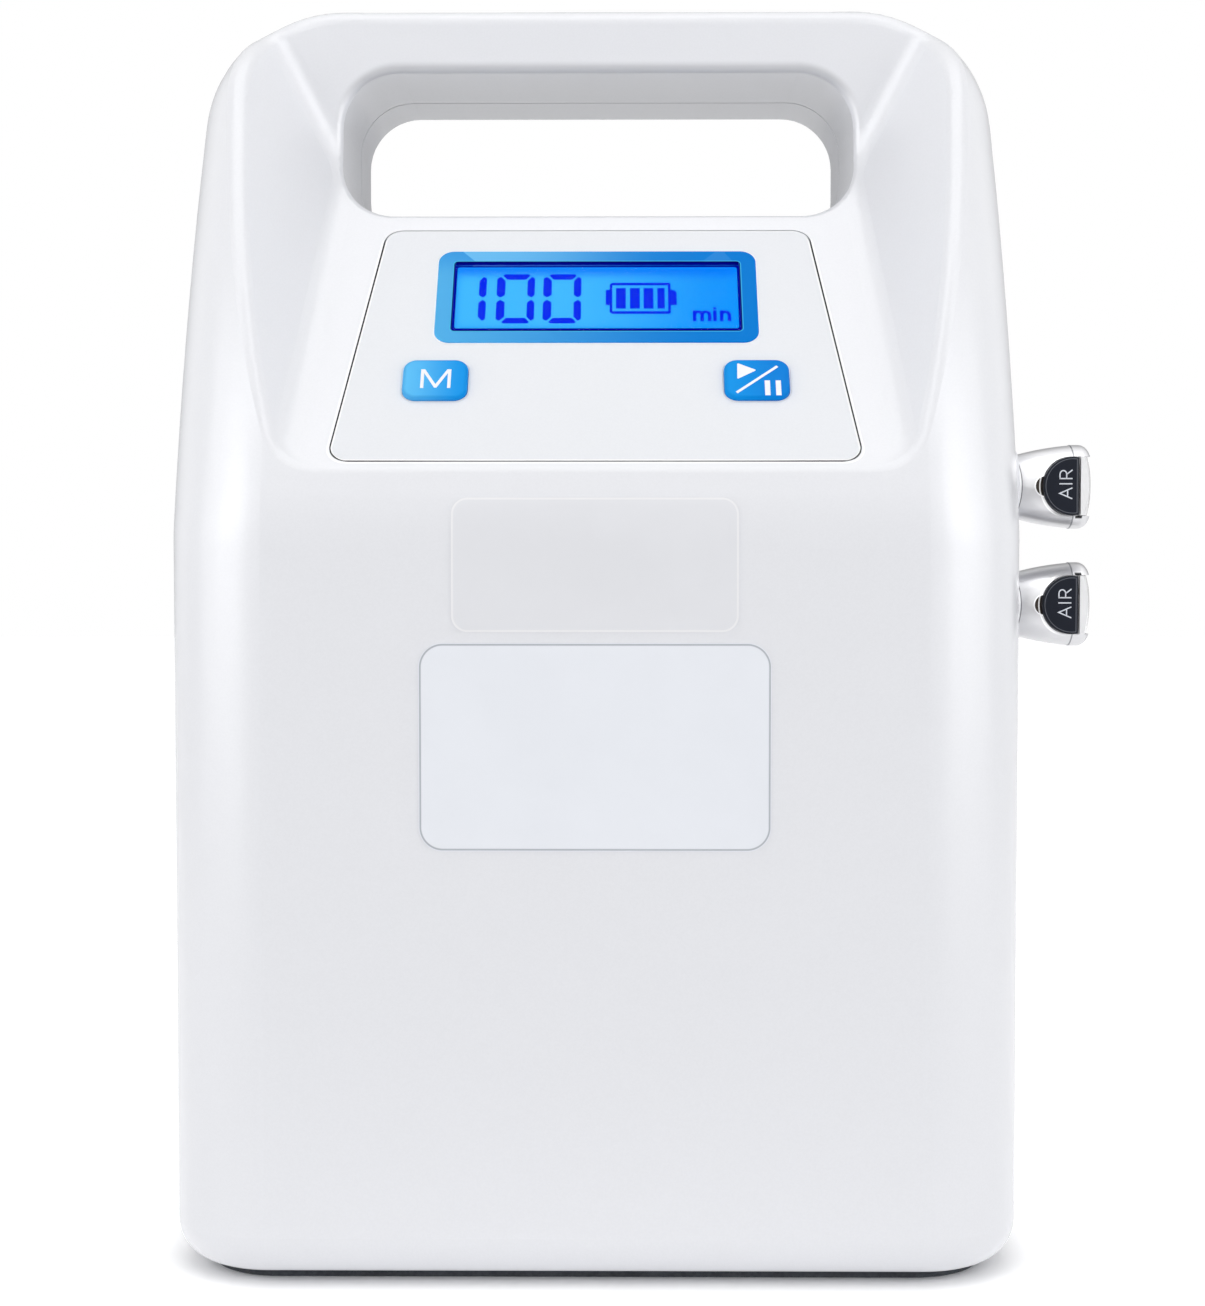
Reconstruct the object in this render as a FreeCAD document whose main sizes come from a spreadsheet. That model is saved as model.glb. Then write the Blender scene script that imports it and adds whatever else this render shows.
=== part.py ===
import FreeCAD, Part

# Portable compression therapy pump: a white two-part housing with a built-in carrying handle, a sloping
# control panel, two quick-release air couplers on its right side, and the battery-driven diaphragm pump,
# valves and boards that it holds inside.
#
# Frame: +Z up, +X to the right of someone facing the panel, +Y towards the back. The origin is on the
# standing surface, under the middle of the housing. Lengths are in millimetres, angles in degrees.

import math
import os
import re

import Sketcher
from FreeCAD import Placement, Rotation, Vector

SIZES = {
    # housing form
    "width": 160,
    "depth": 110,
    "top_height": 246,
    "body_lift": 1.5,
    "shoulder_height": 142,
    "crown_half": 78.5,
    "crown_setback": 46.3,
    "crown_radius": 466,
    "front_round": 19,
    "rear_round": 10,
    "bottom_round": 8,
    "corner_round": 27,
    "shoulder_round": 30,
    "wall": 2.5,
    "lid_depth": 21.4,
    "seam": 0.5,
    # dish that carries the control panel
    "panel_lean": 40,
    "dish_inset": 4.5,
    "dish_foot": 152.8,
    "dish_half_foot": 58,
    "dish_half_head": 49,
    "dish_below": 3,
    "dish_length": 110,
    "dish_rise": 45,
    "dish_draft": 42,
    "dish_corner": 13,
    "dish_blend": 6,
    "lip_blend": 14,
    "rim_round": 3,
    # handle opening
    "grip_half": 52,
    "grip_low": 203.2,
    "grip_high": 233.4,
    "grip_corner": 11.5,
    "grip_edge": 1.5,
    # general clearances
    "gap": 0.3,
    "slide": 0.05,
    # control panel plate
    "plate_half_foot": 49.3,
    "plate_half_head": 41.7,
    "plate_length": 61.4,
    "plate_thick": 2,
    "plate_corner": 3.5,
    "plate_seam": 0.25,
    "ledge": 2.5,
    "ledge_margin": 3.5,
    # display
    "display_rise": 42.7,
    "bezel_width": 62.3,
    "bezel_height": 25.1,
    "bezel_proud": 0.35,
    "bezel_lip": 1.35,
    "bezel_corner": 3,
    "view_width": 55.7,
    "view_height": 18.8,
    "lens_lap": 0.9,
    "lens_thick": 0.8,
    "lens_depth": 0.4,
    "lcd_lap": 0.5,
    "lcd_glass_thick": 2,
    # keys
    "key_spacing": 60.6,
    "key_rise": 20.05,
    "key_width": 12.3,
    "key_height": 10,
    "key_corner": 2.6,
    "key_proud": 0.9,
    "key_edge": 0.5,
    "key_travel": 0.6,
    "key_flange": 1.1,
    "key_flange_thick": 0.9,
    "key_stem": 2,
    "switch_size": 6,
    "switch_height": 3.4,
    "switch_plunger": 1.7,
    "switch_proud": 0.7,
    # board behind the panel
    "board_depth": 9,
    "board_thick": 1.6,
    "panel_board_foot": 7,
    "panel_board_head": 57,
    "panel_board_half_foot": 45,
    "panel_board_half_head": 39,
    "panel_boss": 3,
    "panel_boss_foot": 12,
    "panel_boss_head": 53,
    "panel_boss_half_foot": 40,
    "panel_boss_half_head": 35,
    # stick-on labels
    "label_thick": 0.25,
    "lower_label_width": 64.4,
    "lower_label_foot": 81.4,
    "lower_label_head": 119.5,
    "lower_label_corner": 4.4,
    "upper_label_width": 52.4,
    "upper_label_foot": 121.5,
    "upper_label_head": 146,
    "upper_label_corner": 3,
    # base pad
    "pad_width": 147,
    "pad_depth": 94,
    "pad_corner": 14,
    "pad_recess": 1,
    # screws
    "post_x": 66,
    "post_low": 16,
    "post_high": 200,
    "post_radius": 4,
    "lid_boss_radius": 4.5,
    "big_shank": 1.45,
    "big_head": 2.8,
    "big_head_height": 2.2,
    "big_length": 14,
    "head_seat": 4.4,
    "small_shank": 0.85,
    "small_head": 1.8,
    "small_head_height": 1.3,
    "small_length": 4.8,
    # air couplers
    "port_setback": 30,
    "port_high": 148.6,
    "port_low": 125.9,
    "port_boss": 0.9,
    "port_boss_radius": 7.2,
    "neck_radius": 5.5,
    "neck_length": 8,
    "root_radius": 6.1,
    "mouth_radius": 8,
    "flare_bow": 55,
    "flare_end": 11.4,
    "bore_radius": 3.95,
    "bore_start": 3,
    "seal_groove": 2,
    "seal_depth": 1.4,
    "duct_radius": 1,
    "barb_radius": 1.95,
    "barb_end": 20,
    "collar_radius": 8.1,
    "collar_end": 15,
    "collar_round": 1.9,
    "collar_bore": 4.35,
    "latch_half": 5.6,
    "latch_centre": 10.9,
    "latch_face": 8,
    "latch_thick": 1.25,
    "latch_travel": 1.5,
    "latch_edge": 0.35,
    "latch_floor": 5.2,
    "latch_plate_place": 12.4,
    "latch_plate_reach": 10,
    "latch_plate_edge": 0.6,
    "latch_plate_dome": 2.4,
    "latch_plate_back": 6,
    "latch_fit": 0.1,
    "notch_radius": 1.9,
    "notch_place": 5.9,
    "notch_floor": 6.6,
    "spring_radius": 1,
    "spring_wire": 0.12,
    "spring_turns": 3,
    "spring_seat": 0.5,
    "spring_place": 9.6,
    "nut_radius": 8.5,
    "nut_thick": 3,
    # air hoses
    "hose_radius": 3,
    "hose_bore": 2,
    "hose_bend": 15,
    "hose_lap": 10,
    # chassis
    "chassis_boss": 4,
    "chassis_half": 60,
    "chassis_clear": 5,
    "chassis_back": 26,
    "chassis_low": 8,
    "chassis_thick": 2,
    "chassis_corner": 6,
    "chassis_boss_x": 54,
    "chassis_boss_inset": 4,
    "chassis_boss_back": 20,
    "chassis_screw_length": 4.5,
    # battery
    "cell_radius": 9.1,
    "cell_length": 65,
    "cell_pitch": 19,
    "battery_x": -38,
    "battery_setback": 33.5,
    "cradle_wall": 1.6,
    "cradle_base": 2,
    "cradle_height": 34,
    # diaphragm pump
    "pump_setback": 32,
    "pump_left": -12,
    "motor_length": 30,
    "motor_radius": 12,
    "crank_axis": 24,
    "shaft_radius": 1.5,
    "crankcase_length": 28,
    "crankcase_wall": 2,
    "crankcase_height": 33,
    "eccentric_radius": 5,
    "eccentric_throw": 1.5,
    "eccentric_width": 8,
    "rocker_width": 6,
    "rocker_ring": 2,
    "rocker_stem": 2.5,
    "diaphragm_thick": 1.5,
    "head_thick": 11.5,
    "head_barb": 9,
    "head_port": 7,
    "mount_radius": 4,
    "mount_height": 5,
    "mount_inset": 5,
    "bracket_thick": 2,
    "bracket_margin": 4,
    "saddle_height": 11,
    "saddle_width": 22,
    "saddle_length": 18,
    # valves
    "manifold_left": -12,
    "manifold_length": 60,
    "manifold_y": 14,
    "manifold_width": 16,
    "manifold_height": 18,
    "hose_pitch": 9,
    "coil_radius": 7.5,
    "coil_height": 24,
    "coil_inset": 8.5,
    "coil_cap": 2,
    "valve_plunger": 3,
    "valve_travel": 0.8,
    "valve_fit": 0.2,
    "manifold_barb": 9,
    # main board
    "main_board_y": 28,
    "main_board_half": 45,
    "main_board_foot": 62,
    "main_board_head": 122,
    "main_board_inset": 5,
    "main_board_boss": 3.5,
    "main_screw_length": 8,
    # ribbon cable
    "ribbon_width": 16,
    "ribbon_thick": 0.5,
    "ribbon_bend": 6,
    "ribbon_rise": 54,
    "ribbon_straight": 14,
    "connector_length": 20,
    "connector_width": 5,
    "connector_depth": 3.5,
    # parts on the main board
    "chip_size": 14,
    "chip_thick": 1.4,
    "sensor_width": 10,
    "sensor_height": 8,
    "sensor_thick": 5,
    "sensor_x": 28,
    "capacitor_radius": 5,
    "buzzer_radius": 6,
    "can_height": 9,
    # charging socket
    "inlet_x": -48,
    "inlet_z": 34,
    "inlet_size": 14,
    "inlet_length": 12.5,
    "inlet_barrel": 4.4,
    "inlet_bore": 2.9,
    "inlet_pin": 1,
    "inlet_sunk": 0.4,
    "inlet_back": 1,
    # cooling slots
    "slot_width": 36,
    "slot_height": 2.4,
    "slot_pitch": 5,
    "slot_foot": 24,
    "slot_x": 36,
}

doc = FreeCAD.newDocument("compression_pump")
sizes = doc.addObject("Spreadsheet::Sheet", "sizes")
for row, (alias, number) in enumerate(SIZES.items(), 1):
    sizes.set(f"A{row}", alias)
    sizes.set(f"B{row}", str(number))
    sizes.setAlias(f"B{row}", alias)
doc.recompute()

NODES = []


# ---------------------------------------------------------------- helpers: sizes and places

def value(formula):
    """The number that a formula of named sizes gives now."""
    return float(sizes.evalExpression(str(formula)))


def bind(thing, prop, formula):
    """Tie a property to a formula of named sizes."""
    def linked(word):
        return f"sizes.{word[0]}" if word[0] in SIZES else word[0]

    thing.setExpression(prop, re.sub(r"[a-z_]+", linked, str(formula)))


def place(thing, x="0", y="0", z="0", turn=None):
    """Put a finished object at a point, turned first."""
    thing.Placement = Placement(Vector(), turn or Rotation())
    for axis, formula in zip("xyz", (x, y, z)):
        bind(thing, f"Placement.Base.{axis}", formula)
    return thing


def node(thing, name):
    """Name a finished sub-part, which also names its file."""
    thing.Label = name
    NODES.append(thing)
    return thing


def checked(thing):
    """Recompute one object and stop if it failed."""
    doc.recompute()
    if "Invalid" in thing.State or "Error" in thing.State or thing.Shape.isNull():
        raise RuntimeError(f"{thing.Label} failed: {thing.State}")
    return thing


# ---------------------------------------------------------------- helpers: sketches and bodies

def new_body(name):
    return doc.addObject("PartDesign::Body", name)


def origin_part(body, role):
    return next(part for part in body.Origin.OriginFeatures if part.Role == role)


def rectangle(centre_x, centre_y, width, height):
    """Corner formulas of a rectangle, counter-clockwise."""
    left, right = f"({centre_x}) - ({width}) / 2", f"({centre_x}) + ({width}) / 2"
    low, high = f"({centre_y}) - ({height}) / 2", f"({centre_y}) + ({height}) / 2"
    return [(left, low), (right, low), (right, high), (left, high)]


def box_outline(left, right, low, high):
    """Corner formulas of a rectangle from its four sides."""
    return [(left, low), (right, low), (right, high), (left, high)]


def trapezoid(half_foot, half_head, low, high):
    return [(f"-({half_foot})", low), (half_foot, low), (half_head, high), (f"-({half_head})", high)]


def draw_circle(sketch, x, y, radius):
    index = sketch.GeometryCount
    spot = Vector(value(x), value(y), 0)
    sketch.addGeometry(Part.Circle(spot, Vector(0, 0, 1), value(radius)), False)
    return [("Radius", (index,), radius),
            ("DistanceX", (-1, 1, index, 3), x),
            ("DistanceY", (-1, 1, index, 3), y)]


def draw_outline(sketch, corners):
    """A closed outline; a corner with a third entry starts a counter-clockwise arc of that radius."""
    first = sketch.GeometryCount
    spots = [Vector(value(corner[0]), value(corner[1]), 0) for corner in corners]
    rules = []
    for index, corner in enumerate(corners):
        start, end = spots[index], spots[(index + 1) % len(spots)]
        if len(corner) == 3:
            radius, chord = value(corner[2]), end - start
            across = Vector(-chord.y, chord.x, 0).normalize()
            centre = (start + end) / 2 + across * math.sqrt(radius ** 2 - chord.Length ** 2 / 4)
            angles = [math.atan2(spot.y - centre.y, spot.x - centre.x) for spot in (start, end)]
            circle = Part.Circle(centre, Vector(0, 0, 1), radius)
            sketch.addGeometry(Part.ArcOfCircle(circle, *angles), False)
            rules.append(("Radius", (first + index,), corner[2]))
        else:
            sketch.addGeometry(Part.LineSegment(start, end), False)
    for index, corner in enumerate(corners):
        following = first + (index + 1) % len(corners)
        sketch.addConstraint(Sketcher.Constraint("Coincident", first + index, 2, following, 1))
        rules.append(("DistanceX", (-1, 1, first + index, 1), corner[0]))
        rules.append(("DistanceY", (-1, 1, first + index, 1), corner[1]))
    return rules


def sketch_on(body, plane, loops, lift):
    """A fully dimensioned sketch on one of the body's own planes, lifted along its normal."""
    sketch = body.newObject("Sketcher::SketchObject", f"{body.Name}_sketch")
    sketch.AttachmentSupport = [(origin_part(body, plane), "")]
    sketch.MapMode = "FlatFace"
    bind(sketch, "AttachmentOffset.Base.z", lift)
    for loop in loops:
        rules = draw_circle(sketch, *loop[1:]) if loop[0] == "circle" else draw_outline(sketch, loop)
        for kind, places, formula in rules:
            index = sketch.addConstraint(Sketcher.Constraint(kind, *places, max(value(formula), 1e-3)
                                                             if kind == "Radius" else value(formula)))
            bind(sketch, f"Constraints[{index}]", formula)
    return sketch


def add(body, loops, low, high, plane="XY_Plane"):
    """Pad material between two distances along the plane's axis."""
    lift = f"-({high})" if plane == "XZ_Plane" else low
    pad = body.newObject("PartDesign::Pad", f"{body.Name}_pad")
    pad.Profile = sketch_on(body, plane, loops, lift)
    bind(pad, "Length", f"({high}) - ({low})")
    checked(pad)
    return body


def remove(body, loops, low, high, plane="XY_Plane"):
    """Cut material away between two distances along the plane's axis."""
    before = body.Shape.Volume
    lift = f"-({low})" if plane == "XZ_Plane" else high
    pocket = body.newObject("PartDesign::Pocket", f"{body.Name}_pocket")
    pocket.Profile = sketch_on(body, plane, loops, lift)
    bind(pocket, "Length", f"({high}) - ({low})")
    checked(pocket)
    if body.Shape.Volume > before - 1e-6:
        raise RuntimeError(f"a pocket in {body.Label} cuts nothing")
    return body


def turn_profile(body, corners):
    """Revolve a profile of (radius, height) corners about the body's Z axis."""
    sweep = body.newObject("PartDesign::Revolution", f"{body.Name}_turning")
    sweep.Profile = sketch_on(body, "XZ_Plane", [corners], "0")
    sweep.ReferenceAxis = (origin_part(body, "Z_Axis"), [""])
    sweep.Angle = 360
    checked(sweep)
    return body


def rounded(body, radius, pick):
    """Round the edges of the body that the test picks."""
    base = body.Tip
    names = [f"Edge{index}" for index, edge in enumerate(base.Shape.Edges, 1) if pick(edge)]
    fillet = body.newObject("PartDesign::Fillet", f"{body.Name}_fillet")
    fillet.Base = (base, names)
    bind(fillet, "Radius", radius)
    checked(fillet)
    return body


# ---------------------------------------------------------------- helpers: edge tests

def middle(edge):
    return edge.valueAt((edge.FirstParameter + edge.LastParameter) / 2)


def heading(edge):
    return edge.tangentAt((edge.FirstParameter + edge.LastParameter) / 2)


def points_on(edge):
    return [middle(edge)] + [vertex.Point for vertex in edge.Vertexes]


def along(axis):
    """Straight edges that run along an axis, given as x, y or z."""
    return lambda edge: isinstance(edge.Curve, Part.Line) and abs(getattr(heading(edge), axis)) > 0.999


def level(axis, formula):
    """Edges that lie whole in the plane where the axis has that value."""
    height = value(formula)
    return lambda edge: all(abs(getattr(point, axis) - height) < 1e-3 for point in points_on(edge))


def lies_on(edge, shell):
    """Whether an edge lies whole on a shell."""
    start, span = edge.FirstParameter, edge.LastParameter - edge.FirstParameter
    spots = [Part.Vertex(edge.valueAt(start + span * share)) for share in (0.1, 0.5, 0.9)]
    return all(spot.distToShape(shell)[0] < 0.01 for spot in spots)


# ---------------------------------------------------------------- helpers: booleans and groups

def cut(name, base, tool):
    result = doc.addObject("Part::Cut", name)
    result.Base, result.Tool = base, tool
    return checked(result)


def fuse(name, parts):
    result = doc.addObject("Part::MultiFuse", name)
    result.Shapes = parts
    return checked(result)


def common(name, parts):
    result = doc.addObject("Part::MultiCommon", name)
    result.Shapes = parts
    return checked(result)


def group(name, parts):
    """Separate solids of one kind that share a node."""
    result = doc.addObject("Part::Compound", name)
    result.Links = parts
    return checked(result)


def rounded_where(name, base, radius, pick):
    """Round the picked edges of a boolean result."""
    fillet = doc.addObject("Part::Fillet", name)
    fillet.Base = base
    size = value(radius)
    fillet.Edges = [(index, size, size) for index, edge in enumerate(base.Shape.Edges, 1) if pick(edge)]
    return checked(fillet)


def block(name, left, right, front, back, low, high):
    """A box between six planes."""
    box = doc.addObject("Part::Box", name)
    for prop, near, far in (("Length", left, right), ("Width", front, back), ("Height", low, high)):
        bind(box, prop, f"({far}) - ({near})")
    return checked(place(box, left, front, low))


def rod(name, radius, x, y, z, length, turn=None):
    """A cylinder that starts at a point and runs along +Z, or along the turned +Z."""
    cylinder = doc.addObject("Part::Cylinder", name)
    bind(cylinder, "Radius", radius)
    bind(cylinder, "Height", length)
    return checked(place(cylinder, x, y, z, turn))


# Turns that lay a piece's own +Z along another axis of the frame.
TO_RIGHT = Rotation(Vector(0, 1, 0), 90)
TO_BACK = Rotation(Vector(1, 0, 0), -90)
TO_FRONT = Rotation(Vector(1, 0, 0), 90)


# ---------------------------------------------------------------- helpers: routes

def route_wire(points, bend):
    """Straight runs through the points, joined by tangent arcs."""
    edges, start = [], points[0]
    for before, corner, after in zip(points, points[1:], points[2:]):
        inward, outward = (corner - before).normalize(), (after - corner).normalize()
        half_turn = inward.getAngle(outward) / 2
        reach = bend * math.tan(half_turn)
        arc_start, arc_end = corner - inward * reach, corner + outward * reach
        towards = (outward - inward).normalize()
        arc_middle = corner + towards * (bend / math.cos(half_turn) - bend)
        edges.append(Part.LineSegment(start, arc_start).toShape())
        edges.append(Part.Arc(arc_start, arc_middle, arc_end).toShape())
        start = arc_end
    edges.append(Part.LineSegment(start, points[-1]).toShape())
    return Part.Wire(edges)


def swept(path, outline):
    """A solid with one outline along a path."""
    solid = path.makePipeShell([outline], True, True)
    expected = Part.Face(outline).Area * path.Length
    if abs(solid.Volume - expected) > 0.01 * expected:
        raise RuntimeError("a swept solid has the wrong volume")
    return solid


def hose(name, route, bend):
    """A hose along a route of (x, y, z) formulas."""
    points = [Vector(*(value(formula) for formula in point)) for point in route]
    path = route_wire(points, value(bend))
    start = (points[1] - points[0]).normalize()
    walls = [swept(path, Part.Wire(Part.Circle(points[0], start, value(size)).toShape()))
             for size in ("hose_radius", "hose_bore")]
    tube = doc.addObject("Part::Feature", name)
    tube.Shape = walls[0].cut(walls[1])
    return node(place(tube), name)


# ---------------------------------------------------------------- helpers: fasteners

def screw(name, kind, length):
    """A pan-head screw, its head's seat at z = 0 and its shank along -Z."""
    shank, head, height = f"{kind}_shank", f"{kind}_head", f"{kind}_head_height"
    body = new_body(name)
    tip = f"-({length})"
    turn_profile(body, [("0", tip), (f"{shank} / 2", tip), (shank, f"{shank} + {tip}"), (shank, "0"),
                        (head, "0"), (head, height), ("0", height)])
    rounded(body, f"{height} / 3", level("z", height))
    arm, reach = f"{head} / 7", f"{head} / 1.8"
    cross = [(arm, f"-({reach})"), (arm, f"-({arm})"), (reach, f"-({arm})"), (reach, arm), (arm, arm),
             (arm, reach), (f"-({arm})", reach), (f"-({arm})", arm), (f"-({reach})", arm),
             (f"-({reach})", f"-({arm})"), (f"-({arm})", f"-({arm})"), (f"-({arm})", f"-({reach})")]
    return remove(body, [cross], f"{height} / 2", height)


def screw_group(name, kind, length, seats, turn=None):
    """Screws at each (x, y, z) seat, their heads along the turned +Z."""
    screws = [place(screw(f"{name}_{index}", kind, length), *seat, turn)
              for index, seat in enumerate(seats)]
    return node(group(name, screws), name)


# ---------------------------------------------------------------- housing form

def body_form(name, inset):
    """The housing's outer shape, shrunk by the inset on every side."""
    half, crown = f"width / 2 - ({inset})", f"crown_half - ({inset})"
    low, high = f"body_lift + ({inset})", f"top_height - ({inset})"
    front, rear = f"({inset}) - depth / 2", f"depth / 2 - ({inset})"
    crown_front = f"crown_setback - depth / 2 + ({inset}) / 2"
    body = new_body(name)
    lean, rise = "(width / 2 - crown_half)", f"({high} - shoulder_height)"
    flank = f"({lean} ^ 2 + {rise} ^ 2) / (2 * {lean})"
    silhouette = [(f"-({half})", low), (half, low), (half, "shoulder_height", flank), (crown, high),
                  (f"-({crown})", high, flank), (f"-({half})", "shoulder_height")]
    add(body, [silhouette], front, rear, "XZ_Plane")
    ahead, above = f"{front} - wall", f"{high} + wall"
    crown_cut = [(crown_front, high, f"crown_radius - ({inset})"), (front, "shoulder_height"),
                 (ahead, "shoulder_height"), (ahead, above), (crown_front, above)]
    remove(body, [crown_cut], "-width", "width", "YZ_Plane")

    rounded(body, f"corner_round - ({inset})",
            lambda edge: along("y")(edge) and level("z", high)(edge) and abs(middle(edge).x) > 1)
    rounded(body, f"shoulder_round - ({inset})",
            lambda edge: level("z", "shoulder_height")(edge) and level("y", front)(edge))
    # The front rounding starts on the crown's top edge and runs on down both sides.
    rounded(body, f"front_round - ({inset})",
            lambda edge: along("x")(edge) and level("z", high)(edge) and middle(edge).y < 0)
    rounded(body, f"rear_round - ({inset})",
            lambda edge: level("y", rear)(edge) and middle(edge).z > value(low) + 1)
    return rounded(body, f"bottom_round - ({inset})", level("z", low))


PANEL_TURN = Rotation(Vector(1, 0, 0), 90 - value("panel_lean"))


def in_panel(thing):
    """Put a piece drawn in the panel's own frame in place: x across, y up the slope, z out of it."""
    return place(thing, "0", "dish_inset - depth / 2", "dish_foot", PANEL_TURN)


def panel_point(x, y, z):
    """Formulas of a point given in the panel's own frame."""
    return (x, f"dish_inset - depth / 2 + ({y}) * sin(panel_lean) - ({z}) * cos(panel_lean)",
            f"dish_foot + ({y}) * cos(panel_lean) + ({z}) * sin(panel_lean)")


def dish(name, grow):
    """The dished space in front of the panel, up to the handle bar, grown on every side."""
    body = new_body(name)
    foot, floor = f"-(dish_below + ({grow}))", f"-({grow})"
    pad = body.newObject("PartDesign::Pad", f"{name}_draft")
    quad = trapezoid(f"dish_half_foot + ({grow})", f"dish_half_head + ({grow})", foot, "dish_length")
    pad.Profile = sketch_on(body, "XY_Plane", [quad], floor)
    bind(pad, "Length", f"dish_rise + ({grow})")
    bind(pad, "TaperAngle", "dish_draft")
    checked(pad)

    def bar_line(height):
        return f"(depth / 2 - dish_inset + ({grow}) + ({height}) * cos(panel_lean)) / sin(panel_lean)"

    below, above, beyond = "-dish_rise", "dish_rise * 2", "dish_length * 3"
    remove(body, [[(bar_line(below), below), (beyond, below), (beyond, above), (bar_line(above), above)]],
           "-width", "width", "YZ_Plane")

    floor_height, foot_line, half_foot = value(floor), value(foot), value("dish_half_foot")

    def is_wall(face):
        left, right, low, high = face.ParameterRange
        normal = face.normalAt((left + right) / 2, (low + high) / 2)
        return abs(normal.x) > 0.2 or normal.y < -0.2

    def is_top(face):
        return abs(face.CenterOfMass.z - value("dish_rise")) < 0.01

    def wall_corner(edge):
        ends = [vertex.Point for vertex in edge.Vertexes]
        return (len(ends) == 2 and abs(ends[0].z - ends[1].z) > 10 and middle(edge).y < foot_line
                and abs(middle(edge).x) > half_foot)

    def wall_foot(edge):
        faces = body.Tip.Shape.ancestorsOfType(edge, Part.Face)
        return len(faces) == 2 and is_wall(faces[0]) != is_wall(faces[1]) and not any(map(is_top, faces))

    def lip(edge):
        return along("x")(edge) and abs(middle(edge).z - floor_height) < 0.01 and middle(edge).y > 1

    rounded(body, f"dish_corner + ({grow})", wall_corner)
    rounded(body, f"lip_blend + ({grow})", lip)
    rounded(body, f"dish_blend + ({grow})", wall_foot)
    return in_panel(body)


def grip(name, grow):
    """The handle opening, right through the housing."""
    body = new_body(name)
    outline = box_outline(f"-(grip_half + ({grow}))", f"grip_half + ({grow})",
                          f"grip_low - ({grow})", f"grip_high + ({grow})")
    add(body, [outline], "-depth", "depth", "XZ_Plane")
    return rounded(body, f"grip_corner + ({grow})", along("y"))


def hollowed(name, inset):
    """The space inside the housing that stays an inset away from its outer surface."""
    form = body_form(f"{name}_form", inset)
    limits = fuse(f"{name}_limits", [dish(f"{name}_dish", inset), grip(f"{name}_grip", inset)])
    return cut(name, form, limits)


POSTS = [(x, z) for z in ("post_low", "post_high") for x in ("-post_x", "post_x")]
PARTING = "depth / 2 - lid_depth"
PORT_Y = "(port_setback - depth / 2)"
BATTERY_Y = "(battery_setback - depth / 2)"
PUMP_Y = "(pump_setback - depth / 2)"
PORTS = {"upper": "port_high", "lower": "port_low"}
KEYS = {"mode": "-key_spacing / 2", "start_pause": "key_spacing / 2"}
BOARD_FACE = "-board_depth"
LCD_FACE = "-(lens_depth + lens_thick + slide * 2)"
LCD_BACK = f"({LCD_FACE} - lcd_glass_thick)"
LEDGE_BACK = "-(plate_thick + ledge)"
PLUG_RISE = "(panel_board_foot + connector_width)"
PANEL_BOSSES = [(f"{side}panel_boss_half_{end}", f"panel_boss_{end}")
                for end in ("foot", "head") for side in ("-", "")]
CHASSIS_FRONT = "(chassis_clear - depth / 2)"
CHASSIS_BOSSES = [(x, y) for y in (f"{CHASSIS_FRONT} + chassis_boss_inset", "chassis_boss_back")
                  for x in ("-chassis_boss_x", "chassis_boss_x")]
CHASSIS_TOP = "chassis_low + chassis_thick"
PILOT = "big_shank + slide"
MAIN_BOSSES = [(f"{side}(main_board_half - main_board_inset)", z) for side in ("-", "")
               for z in ("main_board_foot + main_board_inset", "main_board_head - main_board_inset")]
BOARD_BACK = "main_board_y + board_thick"
RIBBON_END = "(main_board_foot + ribbon_rise)"
REAR_INSIDE = "depth / 2 - wall"
RIGHT_INSIDE = "width / 2 - wall"


def display_outline(margin):
    """The display's outlines, each a margin beyond the part that shows."""
    return rectangle("0", "display_rise", f"view_width + 2 * ({margin})", f"view_height + 2 * ({margin})")


def bezel_outline(margin):
    return rectangle("0", "display_rise", f"bezel_width + 2 * ({margin})", f"bezel_height + 2 * ({margin})")


def key_outline(key, margin):
    return rectangle(KEYS[key], "key_rise", f"key_width + 2 * ({margin})", f"key_height + 2 * ({margin})")


def plate_outline(margin):
    return trapezoid(f"plate_half_foot + ({margin})", f"plate_half_head + ({margin})",
                     f"-({margin})", f"plate_length + ({margin})")


def pad_body(name, margin, low, high):
    """The base pad's slab, or with a margin the recess that it sits in."""
    body = new_body(name)
    outline = rectangle("0", "0", f"pad_width + 2 * ({margin})", f"pad_depth + 2 * ({margin})")
    add(body, [outline], low, high)
    return rounded(body, f"pad_corner + ({margin})", along("z"))


def housing_skin():
    """The closed outer shape with the dish, its soft rim and the handle opening."""
    form, tool, opening = body_form("form", "0"), dish("dish_tool", "0"), grip("grip_tool", "0")
    dished = cut("dished_form", form, tool)
    form_shell, tool_shell = form.Shape.Shells[0], tool.Shape.Shells[0]
    soft = rounded_where("soft_form", dished, "rim_round",
                         lambda edge: lies_on(edge, tool_shell) and lies_on(edge, form_shell))
    opened = cut("opened_form", soft, opening)
    opening_shell, soft_shell = opening.Shape.Shells[0], soft.Shape.Shells[0]
    return rounded_where("housing_skin", opened, "grip_edge",
                         lambda edge: lies_on(edge, opening_shell) and lies_on(edge, soft_shell))


def front_fixtures():
    """Posts and bosses that stand inside the front housing."""
    posts = [rod("screw_post", "post_radius", x, "-depth / 2", z, f"depth / 2 + {PARTING}", TO_BACK)
             for x, z in POSTS]
    feet = [rod("chassis_post", "chassis_boss", x, y, "body_lift", "chassis_low - body_lift")
            for x, y in CHASSIS_BOSSES]
    ledge = new_body("panel_ledge")
    add(ledge, [plate_outline("ledge_margin")], LEDGE_BACK, "-plate_thick + dish_blend / 2")
    for x, y in PANEL_BOSSES:
        add(ledge, [("circle", x, y, "panel_boss")], BOARD_FACE, f"{LEDGE_BACK} + ledge / 2")
    return common("front_fixtures", [fuse("fixture_stock", posts + feet + [in_panel(ledge)]),
                                     hollowed("fixture_limit", "wall / 2")])


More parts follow.
